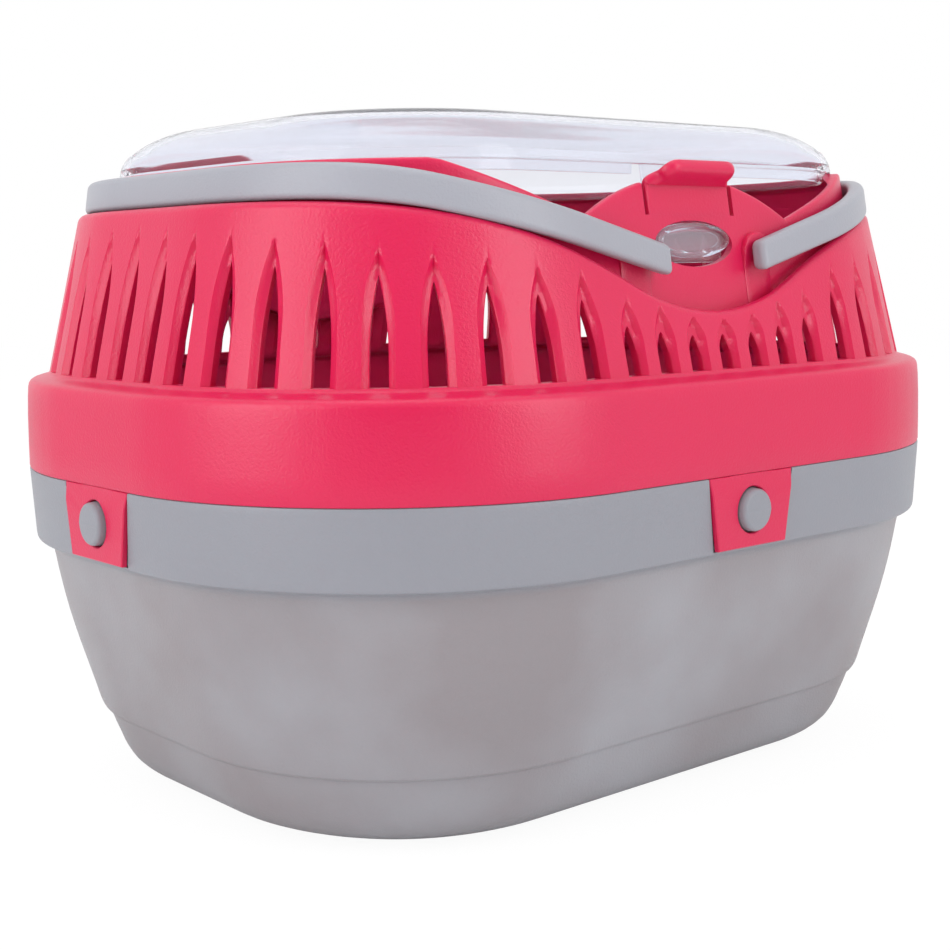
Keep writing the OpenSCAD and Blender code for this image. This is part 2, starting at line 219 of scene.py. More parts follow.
def make_piece(name: str, parts: list[Grid]) -> bpy.types.Object:
    """Makes one closed piece from grids, whose seams and poles close as points are merged.

    Args:
        name: the piece's name.
        parts: pairs of points in millimetres and the corner numbers of their faces.

    Returns:
        The object.
    """
    bm = bmesh.new()
    for points, faces in parts:
        used, corners = np.unique(faces, return_inverse=True)
        add_part(bm, points.reshape(-1, 3)[used], corners.reshape(-1, 4).tolist())
    bmesh.ops.remove_doubles(bm, verts=bm.verts, dist=MERGE)
    bmesh.ops.dissolve_degenerate(bm, edges=bm.edges, dist=MERGE / 20)
    return link_piece(name, bm)


def prism(name: str, loops: Array) -> bpy.types.Object:
    """Makes a prism from loops of points, with a flat face over each end.

    Args:
        name: the piece's name.
        loops: loops by points by 3, in millimetres.

    Returns:
        The object.
    """
    rows, cols = loops.shape[:2]
    caps = [list(range(cols))[::-1], list(range((rows - 1) * cols, rows * cols))]
    bm = bmesh.new()
    add_part(bm, loops, quads(rows, cols, False, True).reshape(-1, 4).tolist() + caps)
    bmesh.ops.triangulate(bm, faces=[face for face in bm.faces if len(face.verts) > 4])
    return link_piece(name, bm)


def skin(points: Array, wrap_rows: bool = False) -> Grid:
    """A grid whose columns go all the way round, as points and faces."""
    rows, cols = points.shape[:2]
    return points, quads(rows, cols, wrap_rows, True)


def plate(outer: Array, inner: Array, keep: Mask, wrap: bool) -> Grid:
    """A wall between an outer and an inner grid, open where a cell isn't kept.

    Each edge between a kept cell and none gets a face from the outer to the inner grid.

    Args:
        outer: outer points, rows by columns by 3.
        inner: inner points, of the same shape.
        keep: which cells are solid.
        wrap: whether the last column joins the first.

    Returns:
        Points and faces.
    """
    rows, cols = outer.shape[:2]
    cells = quads(rows, cols, False, wrap)
    below = np.pad(keep, ((1, 0), (0, 0)))
    above = np.pad(keep, ((0, 1), (0, 0)))
    i, j = np.nonzero(below ^ above)
    lines = np.stack([i * cols + j, i * cols + (j + 1) % cols], -1)
    if wrap:
        left, right = np.roll(keep, 1, 1), keep
    else:
        left, right = np.pad(keep, ((0, 0), (1, 0))), np.pad(keep, ((0, 0), (0, 1)))
    i, j = np.nonzero(left ^ right)
    lines = np.concatenate([lines, np.stack([i * cols + j, (i + 1) * cols + j], -1)])
    shift = rows * cols
    sides = np.concatenate([lines, lines[:, ::-1] + shift], 1)
    kept = cells[keep]
    faces = np.concatenate([kept, kept[:, ::-1] + shift, sides])
    return np.concatenate([outer.reshape(-1, 3), inner.reshape(-1, 3)]), faces


def lathe(profile: Array, centre: Array, axis: Array, count: int) -> Array:
    """Turns a profile about an axis.

    Args:
        profile: rows of (distance along the axis, radius).
        centre: where the axis starts.
        axis: unit direction of the axis.
        count: points round it.

    Returns:
        Points, profile rows by count by 3.
    """
    side = np.cross(axis, [0.0, 0.0, 1.0])
    side = side / np.linalg.norm(side)
    up = np.cross(side, axis)
    turn = 2 * np.pi * even(count)
    ring = np.cos(turn)[:, None] * side + np.sin(turn)[:, None] * up
    return centre + profile[:, :1, None] * axis + profile[:, 1:, None] * ring


def arc(centre: tuple[float, float], r: float, start: float, end: float, n: int) -> Array:
    """Points on an arc of a profile, from one angle to another in degrees."""
    turn = np.radians(np.linspace(start, end, n))
    return np.stack([centre[0] + r * np.cos(turn), centre[1] + r * np.sin(turn)], -1)


def rounded_box(half_u: Array, half_v: Array, r: Array, per_corner: int) -> tuple[Array, Array]:
    """Outline of a rounded rectangle, one for each row of sizes.

    Args:
        half_u: half widths, one a row.
        half_v: half heights.
        r: corner radii.
        per_corner: points on each corner's arc.

    Returns:
        The outlines' u and v, rows by points.
    """
    turn = np.concatenate([np.linspace(q, q + 90, per_corner) for q in (-90, 0, 90, 180)])
    turn = np.radians(turn)
    su = np.repeat([1, 1, -1, -1], per_corner)
    sv = np.repeat([-1, 1, 1, -1], per_corner)
    u = su * (half_u - r)[:, None] + r[:, None] * np.cos(turn)
    v = sv * (half_v - r)[:, None] + r[:, None] * np.sin(turn)
    return u, v


def mirrored(points: Array, axis: int) -> Array:
    """Copies points to the other side of the middle, along axis 0 for X or 1 for Y."""
    flip = np.where(np.arange(3) == axis, -1.0, 1.0)
    return points * flip


# ---- finishes ----


def linear(colour: str) -> tuple[float, float, float, float]:
    """Turns a colour to linear, by the sRGB standard's own curve.

    Args:
        colour: sRGB hex, such as 'e0305a'.

    Returns:
        Linear RGBA.
    """
    srgb = np.array([int(colour[i : i + 2], 16) / 255 for i in (0, 2, 4)])
    rgb = np.where(srgb <= 0.04045, srgb / 12.92, ((srgb + 0.055) / 1.055) ** 2.4)
    return (float(rgb[0]), float(rgb[1]), float(rgb[2]), 1.0)


def set_node(
    tree: bpy.types.NodeTree,
    node: bpy.types.Node,
    settings: dict[str | int, object],
    links: dict[str | int, bpy.types.NodeSocket],
) -> None:
    """Sets a node's values and what feeds it.

    Args:
        tree: the material's or world's nodes.
        node: the node.
        settings: values for its attributes, or for its inputs by name or number.
        links: what feeds its inputs.
    """
    for key, value in settings.items():
        if isinstance(key, int) or key in node.inputs:
            node.inputs[key].default_value = value
        else:
            setattr(node, key, value)
    for key, source in links.items():
        tree.links.new(source, node.inputs[key])


def add_node(
    tree: bpy.types.NodeTree,
    kind: str,
    settings: dict[str | int, object] | None = None,
    links: dict[str | int, bpy.types.NodeSocket] | None = None,
) -> bpy.types.Node:
    """Adds a node with its settings and links.

    Args:
        tree: the material's or world's nodes.
        kind: the node's type name.
        settings: values for its attributes, or for its inputs by name or number.
        links: what feeds its inputs.

    Returns:
        The node.
    """
    node = tree.nodes.new(kind)
    set_node(tree, node, settings or {}, links or {})
    return node


def start_material(name: str) -> tuple[bpy.types.Material, bpy.types.Node]:
    """Starts a material.

    Args:
        name: its name.

    Returns:
        The material and its main shader.
    """
    material = bpy.data.materials.new(name)
    material.use_nodes = True
    return material, material.node_tree.nodes["Principled BSDF"]


@dataclass(frozen=True)
class MouldedPlastic:
    """Polypropylene moulded in a spark-eroded tool, so its skin has a fine even grain.

    The grain breaks up the highlights and traps part of the gloss, and thin walls let a
    little light through, which lifts their shade. Melt flow leaves faint cloudy changes of
    shade, about 60 mm across. The real grain is about 0.1 mm and would not show, so it is
    drawn coarser.
    """

    name: str
    colour: str
    shade: str
    roughness: float
    gloss: float
    glow: float
    grain_mm: float = 0.75
    grain_depth_mm: float = 0.13
    cloud_mm: float = 60.0
    glow_mm: float = 4.0
    low_colour: str = ""
    low_shade: str = ""
    split_z: float = 0.0

    def build(self) -> bpy.types.Material:
        """Makes the material from two noises: the melt's clouds and the tool's grain.

        Returns:
            The material.
        """
        material, shader = start_material(self.name)
        tree = material.node_tree
        place = add_node(tree, "ShaderNodeTexCoord").outputs["Object"]
        cloud = add_node(
            tree,
            "ShaderNodeTexNoise",
            {"Scale": 1 / (self.cloud_mm * MM), "Detail": 3.0, "Roughness": 0.45},
            {"Vector": place},
        ).outputs["Fac"]
        grain = add_node(
            tree,
            "ShaderNodeTexNoise",
            {"Scale": 1 / (self.grain_mm * MM), "Detail": 2.0, "Roughness": 0.6},
            {"Vector": place},
        ).outputs["Fac"]
        colour = add_node(
            tree,
            "ShaderNodeMix",
            {"data_type": "RGBA", 6: linear(self.colour), 7: linear(self.shade)},
            {0: cloud},
        ).outputs[2]
        if self.low_colour:
            colour = self.lower_tint(tree, place, cloud, colour)
        rough = add_node(
            tree,
            "ShaderNodeMapRange",
            {"To Min": self.roughness - 0.05, "To Max": self.roughness + 0.06},
            {"Value": grain},
        )
        bump = add_node(
            tree,
            "ShaderNodeBump",
            {"Strength": 0.9, "Distance": self.grain_depth_mm * MM},
            {"Height": grain},
        )
        set_node(
            tree,
            shader,
            {
                "IOR": 1.49,
                "Specular IOR Level": self.gloss,
                "Subsurface Weight": self.glow,
                "Subsurface Radius": (1.0, 0.35, 0.35),
                "Subsurface Scale": self.glow_mm * MM,
            },
            {
                "Base Color": colour,
                "Roughness": rough.outputs["Result"],
                "Normal": bump.outputs["Normal"],
            },
        )
        return material

    def lower_tint(
        self,
        tree: bpy.types.NodeTree,
        place: bpy.types.NodeSocket,
        cloud: bpy.types.NodeSocket,
        above: bpy.types.NodeSocket,
    ) -> bpy.types.NodeSocket:
        """Blends to the lower walls' clouded colour below a height, as the wall is thinner there.

        Args:
            tree: the material's nodes.
            place: object coordinates.
            cloud: the melt flow's noise.
            above: the colour over the height.

        Returns:
            The blended colour.
        """
        spread = add_node(
            tree, "ShaderNodeMapRange", {"From Min": 0.36, "From Max": 0.64}, {"Value": cloud}
        )
        low = add_node(
            tree,
            "ShaderNodeMix",
            {"data_type": "RGBA", 6: linear(self.low_colour), 7: linear(self.low_shade)},
            {0: spread.outputs["Result"]},
        )
        height = add_node(tree, "ShaderNodeSeparateXYZ", links={"Vector": place})
        fade = add_node(
            tree,
            "ShaderNodeMapRange",
            {"From Min": (self.split_z - 1.2) * MM, "From Max": (self.split_z + 1.2) * MM},
            {"Value": height.outputs["Z"]},
        )
        return add_node(
            tree,
            "ShaderNodeMix",
            {"data_type": "RGBA"},
            {0: fade.outputs["Result"], 6: low.outputs[2], 7: above},
        ).outputs[2]


@dataclass(frozen=True)
class ClearPlastic:
    """Polystyrene moulded against a polished tool: clear with a faint blue haze, and glossy.

    A thin wall hardly bends what is seen through it, so the body's IOR is kept low and a coat
    with polystyrene's own IOR gives the gloss. The haze softens what lies behind it, and slow
    ripples, 35 mm long, bend the reflections a little.
    """

    name: str
    colour: str = "f4f6fd"
    haze: float = 0.05
    blur: float = 0.08
    roughness: float = 0.04
    body_ior: float = 1.04
    coat: float = 0.2
    coat_ior: float = 1.55
    ripple_mm: float = 35.0
    ripple_depth_mm: float = 0.1

    def build(self) -> bpy.types.Material:
        """Makes the material.

        Returns:
            The material.
        """
        material, shader = start_material(self.name)
        tree = material.node_tree
        ripple = add_node(
            tree,
            "ShaderNodeTexNoise",
            {"Scale": 1 / (self.ripple_mm * MM), "Detail": 1.0},
            {"Vector": add_node(tree, "ShaderNodeTexCoord").outputs["Object"]},
        )
        bump = add_node(
            tree,
            "ShaderNodeBump",
            {"Strength": 0.3, "Distance": self.ripple_depth_mm * MM},
            {"Height": ripple.outputs["Fac"]},
        ).outputs["Normal"]
        set_node(
            tree,
            shader,
            {
                "Base Color": linear(self.colour),
                "Roughness": self.blur,
                "IOR": self.body_ior,
                "Transmission Weight": 1.0 - self.haze,
                "Coat Weight": self.coat,
                "Coat IOR": self.coat_ior,
                "Coat Roughness": self.roughness,
            },
            {"Normal": bump, "Coat Normal": bump},
        )
        return material


class Finish(Enum):
    """The finishes, named for the record's material slots but for the catch's."""

    PALE_GREY = "pale_grey"
    ROSE_RED = "rose_red"
    CLEAR = "clear"
    CLEAR_CATCH = "clear_catch"
    LIGHT_GREY = "light_grey"

    @property
    def slot(self) -> str:
        """The record's slot: the catch is moulded in the lid's plastic, but thick and glossy."""
        return self.value.removesuffix("_catch")


FINISHES = {
    Finish.PALE_GREY: MouldedPlastic(
        "moulded_pp_pale_grey",
        colour="909199",
        shade="8b8c94",
        roughness=0.4,
        gloss=0.38,
        glow=0.1,
        low_colour="9c9ba1",
        low_shade="8f898d",
        split_z=79.5,
    ),
    Finish.ROSE_RED: MouldedPlastic(
        "moulded_pp_rose_red",
        colour="d3134e",
        shade="cd1149",
        roughness=0.33,
        gloss=0.5,
        glow=0.2,
    ),
    Finish.CLEAR: ClearPlastic("polished_ps_clear"),
    Finish.CLEAR_CATCH: ClearPlastic("polished_ps_clear_catch", coat=0.7),
    Finish.LIGHT_GREY: MouldedPlastic(
        "moulded_pp_light_grey",
        colour="9fa0a9",
        shade="9b9ca5",
        roughness=0.36,
        gloss=0.38,
        glow=0.05,
    ),
}


@dataclass
class Wardrobe:
    """Dresses pieces and ties them to the frame's bodies."""

    materials: dict[Finish, bpy.types.Material] = field(default_factory=dict)

    def dress(
        self, piece: bpy.types.Object, finish: Finish, body: str, node: str = ""
    ) -> bpy.types.Object:
        """Gives a piece its finish and its body, and hides the CAD node it stands for.

        Args:
            piece: the piece.
            finish: its finish.
            body: the CAD body it moves with.
            node: the CAD node it replaces, if any.

        Returns:
            The piece.
        """
        if finish not in self.materials:
            self.materials[finish] = FINISHES[finish].build()
        piece.data.materials.append(self.materials[finish])
        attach(piece, body)
        if node:
            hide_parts(node)
        LOG.info("%s: %d faces, rides %s", piece.name, len(piece.data.polygons), body)
        return piece


# ---- the carrier's own sizes, shared by its pieces ----

BODY = Plan(150, 116.5, 95)
WALL = Plan(142.8, 109.3, 87.8)
COLLAR = Plan(119, 90, 65)
BAIL = Plan(125.6, 98.6, 73.6)
SEAM_Z = 104.0
LEDGE_Z = 132.5
RIM_Z = 194.0
WALL_LEAN = 0.235
COLLAR_LEAN = 0.176
BAIL_LEAN = 0.15
WALL_T = 2.4
COLLAR_T = 2.2
CHANNEL_DEPTH = 3.0
TONGUE_Z = 179.0
TONGUE_HALF = 18.0
SLIT_W = 1.6
PIVOT = (27.0, 168.0)
HINGE = (91.1, 189.5)


@dataclass(frozen=True)
class Wave:
    """The wavy top of the vented wall: a valley arc between two crest arcs, all tangent."""

    half: float = 130.0
    low: float = 151.0
    high: float = 183.0
    valley_r: float = 75.0

    def height(self, x: Array) -> Array:
        """Finds the height of the wall's top, by the three arcs' circle formulas.

        Args:
            x: distances from the middle.

        Returns:
            Heights.
        """
        drop = self.high - self.low
        total = (self.half**2 + drop**2) / (2 * drop)
        crest_r = total - self.valley_r
        x = np.minimum(np.abs(x), self.half)
        turn_x = self.valley_r * self.half / total
        valley = self.low + self.valley_r - np.sqrt(np.maximum(self.valley_r**2 - x * x, 0))
        crest = self.high - crest_r + np.sqrt(crest_r**2 - (self.half - x) ** 2)
        return np.where(x < turn_x, valley, crest)


WAVE = Wave()


def collar_y(z: Array | float) -> Array | float:
    """Distance from the middle to the collar's outer face on a long side, at a height."""
    return COLLAR.half_y + (RIM_Z - z) * COLLAR_LEAN


def wave_along(plan: Plan, track: Track, lean: float, base_z: float, drop: float) -> Array:
    """Height of the wavy top above a leaning wall's own columns.

    The wall leans, so x depends on the height that is sought: three rounds settle it.

    Args:
        plan: the wall's plan at base_z.
        track: the columns.
        lean: inward lean per unit of height.
        base_z: height of the plan.
        drop: how far below the wave the line lies.

    Returns:
        Heights, one a column.
    """
    z = np.full(np.shape(track.turn), 175.0)
    for _ in range(3):
        x = plan.place(track, -(z - base_z) * lean, 0.0)[..., 0]
        z = WAVE.height(x) - drop
    return z


@dataclass
class SnapTab:
    """Sizes of a snap tab and of the recess that it lies in."""

    half_top: float = 18.5
    half_low: float = 15.0
    low_z: float = 82.5
    thick: float = 2.0
    proud: float = 0.8
    gap: float = 0.3
    stud_z: float = 93.3
    hole_r: float = 6.9


# ---- tub ----


@dataclass
class Tub:
    """The lower half: floor, tapered wall with a step near its foot, and a rim band."""

    tab: SnapTab
    stud_r: float = 6.4
    stud_proud: float = 3.6
    recess: float = 1.5
    fade: float = 14.0

    def outer_profile(self) -> Array:
        """Offset and height from the floor's edge up to the seam, softly rounded.

        The wall is a straight taper with a slight belly: a sine of the height, skewed upwards.

        Returns:
            Rows of offset and height.
        """
        foot = np.array(
            [[-45.5, 0.0], [-43.2, 0.3], [-40.6, 0.95], [-37.9, 2.0], [-35.3, 3.1],
             [-33.1, 4.15], [-31.2, 5.3], [-29.6, 6.6], [-28.2, 8.0], [-27.2, 9.5],
             [-26.3, 11.1], [-25.5, 12.8], [-24.8, 14.7], [-24.0, 16.7], [-23.2, 18.7],
             [-22.3, 21.2], [-21.4, 23.6]]
        )
        step = np.array([[-21.1, 24.5], [-20.85, 24.85], [-20.1, 25.15], [-19.5, 25.4],
                         [-19.15, 26.0]])
        wall_z = np.linspace(27.5, 75.0, 12)
        share = (wall_z - 27.5) / 47.5
        wall = np.stack([-18.6 + 11.95 * share + np.sin(np.pi * share**1.3), wall_z], -1)
        under = np.array([[-6.35, 76.6], [-6.1, 77.8], [-5.6, 78.8], [-4.7, 79.8],
                          [-3.6, 80.6], [-2.7, 81.1]])
        lip = arc((-2.35, 82.2), 1.1, -76, -4, 5)
        band_z = np.array([82.9, 84.0, 87.0, 92.0, 98.0, 102.0, 103.3])
        band = np.stack([-1.2 + (band_z - 82) * 0.055, band_z], -1)
        rim = np.array([[-0.15, 103.8], [-0.55, 104.0]])
        return np.concatenate([foot, step, wall, under, lip, band, rim])

    def inner_profile(self) -> Array:
        """Offset and height from the seam down to the floor's edge, inside.

        Returns:
            Rows of offset and height.
        """
        return np.array(
            [[-2.5, 104.0], [-2.75, 103.6], [-3.3, 92.0], [-3.9, 85.0], [-5.1, 83.0],
             [-7.4, 81.2], [-8.5, 79.0], [-9.0, 76.0], [-11.4, 62.0], [-15.0, 48.0],
             [-20.8, 28.0], [-22.4, 25.0], [-25.4, 18.0], [-27.6, 13.0], [-29.4, 10.0],
             [-32.0, 7.4], [-35.5, 5.2], [-40.0, 3.4], [-46.0, 2.4]]
        )

    def body(self) -> bpy.types.Object:
        """Makes the tub: both profiles swept round the plan, closed at a pole inside and out.

        Returns:
            The piece.
        """
        outer = self.outer_profile()
        edge_z = self.tab.low_z - self.tab.gap
        at = int(np.searchsorted(outer[:, 1], edge_z))
        edge = np.array([[-1.25, edge_z - 0.02], [-1.25, edge_z + 0.02]])
        outer = np.concatenate([outer[:at], edge, outer[at:]])
        profile = np.concatenate([outer, self.inner_profile()])
        s = self.columns()
        rows = profile[:, 1][:, None]
        s_rows, inside = self.slant(s[None, :], rows)
        offset = profile[:, 0][:, None] - self.recess * inside
        wall = BODY.place(BODY.walk(s_rows), offset, rows)
        share = np.array([0.0, 0.25, 0.6])[:, None, None]
        under = wall[:1] * share * [1, 1, 0]
        floor = wall[-1:] * share[::-1] * [1, 1, 0] + [0, 0, WALL_T]
        points = np.concatenate([under, wall, floor])
        return make_piece("tub_body", [skin(points)])

    def columns(self) -> Array:
        """Spaces the columns evenly, with close pairs at the tabs' recesses.

        Returns:
            Arc lengths.
        """
        tops = np.array([0, 1, 2, 3]) * BODY.quarter
        edge = self.tab.half_top + self.tab.gap
        near = np.array([-edge - 0.02, -edge + 0.02, edge - 0.02, edge + 0.02])
        pairs = (tops[:, None] + near).ravel()
        between = np.concatenate(
            [t + np.linspace(-edge, edge, 8)[1:-1] for t in tops]
            + [t + np.linspace(edge + 1.5, BODY.quarter - edge - 1.5, 40) for t in tops]
        )
        return np.sort(np.mod(np.concatenate([pairs, between]), 4 * BODY.quarter))

    def slant(self, s: Array, z: Array) -> tuple[Array, Array]:
        """Slants the columns near a tab with its sides.

        Within a tab's half width the distance from its middle shrinks in proportion to the
        tab's width at that height, and the change fades out beyond it.

        Args:
            s: the columns' arc lengths.
            z: the rows' heights.

        Returns:
            The slanted arc lengths, and 1 inside the recess or 0 outside, rows by columns.
        """
        edge = self.tab.half_top + self.tab.gap
        near = np.round(s / BODY.quarter) * BODY.quarter
        d = s - near
        span = SEAM_Z - self.tab.low_z
        narrow = (self.tab.half_top - self.tab.half_low) / edge
        share = np.clip((SEAM_Z - z) / span, 0, 1.1) * (z > self.tab.low_z - 12)
        fade = np.clip((edge + self.fade - np.abs(d)) / self.fade, 0, 1)
        moved = near + d - np.sign(d) * np.minimum(np.abs(d), edge) * narrow * share * fade
        low = self.tab.low_z - self.tab.gap
        inside = (np.abs(d) < edge) & (z > low) & (np.arange(len(z))[:, None] < self.rim_row(z))
        return moved, inside.astype(float)

    def rim_row(self, z: Array) -> int:
        """The row where the profile turns from the outer face over the rim."""
        return int(np.argmax(z[:, 0])) + 1

    def studs(self) -> bpy.types.Object:
        """Makes the four studs: lathed, domed, each with a fine parting line across it.

        The dome falls with the square of the distance from its middle, and the line is a
        bell curve of the height.

        Returns:
            The piece.
        """
        r, top = self.stud_r, self.stud_proud
        side = np.array([[-1.9, r + 0.35], [-0.6, r + 0.1], [0.4, r], [top - 1.5, r - 0.1]])
        edge = arc((top - 1.5, r - 1.5), 1.4, 75, 14, 6)
        dome = np.stack(
            [top - 0.02 * np.linspace(r - 1.5, 0, 8) ** 2 / 3, np.linspace(r - 1.5, 0, 8)], -1
        )
        profile = np.concatenate([side, edge, dome])
        parts = []
        for axis, reach in (
            ((0, -1, 0), BODY.half_y), ((0, 1, 0), BODY.half_y),
            ((-1, 0, 0), BODY.half_x), ((1, 0, 0), BODY.half_x),
        ):
            axis = np.array(axis, float)
            points = lathe(profile, axis * (reach - 0.6) + [0, 0, self.tab.stud_z], axis, 72)
            height = points[..., 2] - self.tab.stud_z
            ridge = 0.1 * np.exp(-((height / 0.35) ** 2)) * (profile[:, :1] > 0.5)
            parts.append(skin(points + ridge[..., None] * axis))
        return make_piece("tub_studs", parts)

    def build(self, wardrobe: Wardrobe) -> None:
        """Builds and dresses the tub and its studs."""
        wardrobe.dress(self.body(), Finish.PALE_GREY, "tub", "base_tub")
        wardrobe.dress(self.studs(), Finish.PALE_GREY, "tub")


# ---- upper shell ----


@dataclass(frozen=True)
class Vents:
    """A run of vents: arc lengths, heights of the tips, half widths of openings and pockets."""

    centre: Array
    tip: Array
    half: Array
    pocket: Array


@dataclass
class VentedShell:
    """The shell's band, ledge and leaning wall with its ring of pointed vents."""

    sill_z: float = 134.1
    short_pitch: float = 13.1
    short_tips: tuple[float, ...] = (144.2, 144.4, 145.8, 147.8)
    tall_tips: tuple[float, ...] = (
        155.6, 157.5, 160.0, 161.3, 163.1, 165.2, 166.2, 167.6, 168.4, 169.5, 170.4
    )
    short_half: float = 2.4
    tall_half: float = 2.65
    short_pocket: float = 4.1
    tall_pocket: float = 4.6
    depth: float = 1.5
    bevel: float = 1.75
    edge: float = 0.35
    groove_half: float = 0.9
    groove_run: float = 7.2
    border: float = 0.55
    open_spring: float = 0.3
    pocket_spring: float = 0.45
    shoulder_r: float = 2.0
    strip_columns: int = 11

    def quarter_vents(self) -> Vents:
        """Places the vents of one quarter, from the middle of the front to that of an end.

        Returns:
            The vents: short ones at their own pitch, and tall ones spread over the rest.
        """
        narrow = len(self.short_tips)
        count = narrow + len(self.tall_tips)
        short = np.arange(narrow) * self.short_pitch
        share = np.arange(1, count - narrow + 1) / (count - narrow)
        is_short = np.arange(count) < narrow
        return Vents(
            np.concatenate([short, short[-1] + (WALL.quarter - short[-1]) * share]),
            np.array(self.short_tips + self.tall_tips),
            np.where(is_short, self.short_half, self.tall_half),
            np.where(is_short, self.short_pocket, self.tall_pocket),
        )

    def all_vents(self) -> Vents:
        """Mirrors the quarter's vents round the whole ring.

        Returns:
            The vents in order of arc length.
        """
        one, two = self.quarter_vents(), 2 * WALL.quarter
        s = one.centre
        centre = np.concatenate([s, two - s[-2::-1], two + s[1:], 2 * two - s[-2:0:-1]])
        cuts = (slice(None), slice(-2, None, -1), slice(1, None), slice(-2, 0, -1))
        rows = (one.tip, one.half, one.pocket)
        return Vents(centre, *(np.concatenate([row[cut] for cut in cuts]) for row in rows))

    def wall(self) -> bpy.types.Object:
        """Makes the band, ledge and wall as one plate with the vents left open.

        Each vent owns eleven columns, which follow the opening's edge and its small bevel,
        the middle and edge of the sunk pocket, and the strip's border. Above the tip the two
        edge columns meet. The inner face swells in step with the pockets, so the openings
        have deep jambs.

        Returns:
            The piece.
        """
        vents = self.all_vents()
        ring = 4 * WALL.quarter
        to_left = 0.5 * np.mod(vents.centre - np.roll(vents.centre, 1), ring)
        rise = np.linspace(0, 1, 15)[1:] ** 0.85
        groove = np.linspace(0, 1, 7)[1:]
        above = np.array([0.4, 0.8, 1.0])
        stages = np.concatenate([[0.0], rise, 1 + groove, 2 + above])
        columns = [self.strip(k, stages, vents, to_left) for k in range(self.strip_columns)]
        s, sunk = (np.stack(values, -1).reshape(len(stages), -1) for values in zip(*columns))
        track = WALL.walk(s)
        top = wave_along(WALL, track, WALL_LEAN, LEDGE_Z, 0.0) - self.shoulder_r
        tip = np.interp(np.mod(s, ring), vents.centre, vents.tip, period=ring)
        run = np.minimum(tip + self.groove_run, top - 0.6)
        stage = stages[:, None]
        z = np.where(
            stage <= 1,
            self.sill_z + (tip - self.sill_z) * stage,
            np.where(stage <= 2, tip + (run - tip) * (stage - 1), run + (top - run) * (stage - 2)),
        )
        nominal = -(z - LEDGE_Z) * WALL_LEAN
        outer = WALL.place(track, nominal - sunk, z)
        inner = WALL.place(track, nominal - WALL_T - sunk, z)
        lower_out, lower_in = self.band(s[:1])
        upper_out, upper_in = self.shoulder(s[-1:], z[-1:])
        outer = np.concatenate([lower_out, outer, upper_out])
        inner = np.concatenate([lower_in, inner, upper_in])
        keep = np.ones((len(outer) - 1, outer.shape[1]), bool)
        first, middle = len(lower_out), self.strip_columns // 2
        keep[first : first + len(rise), middle :: self.strip_columns] = False
        return make_piece("vented_shell", [plate(outer, inner, keep, True)])

    def strip(
        self, k: int, stages: Array, vents: Vents, to_left: Array
    ) -> tuple[Array, Array]:
        """Places column k of every vent's eleven.

        Columns 0 to 5 run from the left border to the opening's edge and 6 to 10 back out. The
        pocket's depth grows in step with the distance in from its edge, and the opening's edge
        lies a little deeper, as its bevel.

        Args:
            k: which column.
            stages: 0 to 1 up the opening, to 2 up the groove, to 3 to the shoulder.
            vents: the ring's vents.
            to_left: distance to each strip's left border.

        Returns:
            Arc lengths and depths, stages by vents.
        """
        stage = stages[:, None]
        tall = vents.tip - self.sill_z
        up = tall * np.minimum(stage, 1) + self.groove_run * np.clip(stage - 1, 0, 1)
        in_open = stage < 1
        open_half = vents.half * lancet(np.minimum(stage, 1), self.open_spring) * in_open
        wide = vents.pocket * lancet(up / (tall + self.groove_run), self.pocket_spring)
        shown = np.maximum(wide, self.groove_half)
        middle = self.strip_columns // 2
        side = -1.0 if k <= middle else 1.0
        role = min(k, self.strip_columns - k)
        place = (
            to_left,
            shown + self.border,
            shown,
            0.5 * (shown + open_half),
            open_half + self.edge * in_open,
            open_half,
        )[role]
        place = np.broadcast_to(place, wide.shape)
        within = np.clip((wide - place) / self.bevel, 0, 1)
        depth = self.depth * within * (3 - within) / 2
        if role == middle:
            depth = depth + self.edge * in_open
        return vents.centre + side * place, depth

    def band(self, s: Array) -> tuple[Array, Array]:
        """Rows below the sill: locating skirt, seam, rim band, ledge and the wall's foot.

        Args:
            s: the columns' arc lengths at the sill.

        Returns:
            Outer and inner points.
        """
        rows = np.array(
            [
                [97.0, -3.1, 97.0, -4.8],
                [103.9, -3.1, 103.9, -4.8],
                [104.0, -3.1, 104.0, -4.8],
                [104.0, -0.5, 104.3, -4.8],
                [104.15, -0.15, 104.6, -4.8],
                [104.6, 0.0, 105.0, -4.8],
                [112.0, -0.05, 112.0, -4.8],
                [120.0, -0.2, 118.0, -4.8],
                [126.5, -0.5, 124.0, -4.8],
                [129.4, -0.75, 128.0, -4.9],
                [130.5, -1.0, 128.6, -5.1],
                [131.2, -1.5, 129.1, -5.6],
                [131.75, -2.4, 129.6, -6.2],
                [132.15, -3.6, 129.9, -6.8],
                [132.5, -5.0, 130.2, -7.6],
                [132.9, -6.4, 130.6, -8.6],
                [133.4, -7.3, 131.4, -9.4],
                [self.sill_z - 0.02, -7.6, 133.0, -10.0],
            ]
        )
        track = WALL.walk(np.repeat(s, len(rows), 0))
        shift = BODY.radius - WALL.radius
        outer = WALL.place(track, rows[:, 1:2] + shift, rows[:, 0:1])
        inner = WALL.place(track, rows[:, 3:4] + shift, rows[:, 2:3])
        return outer, inner

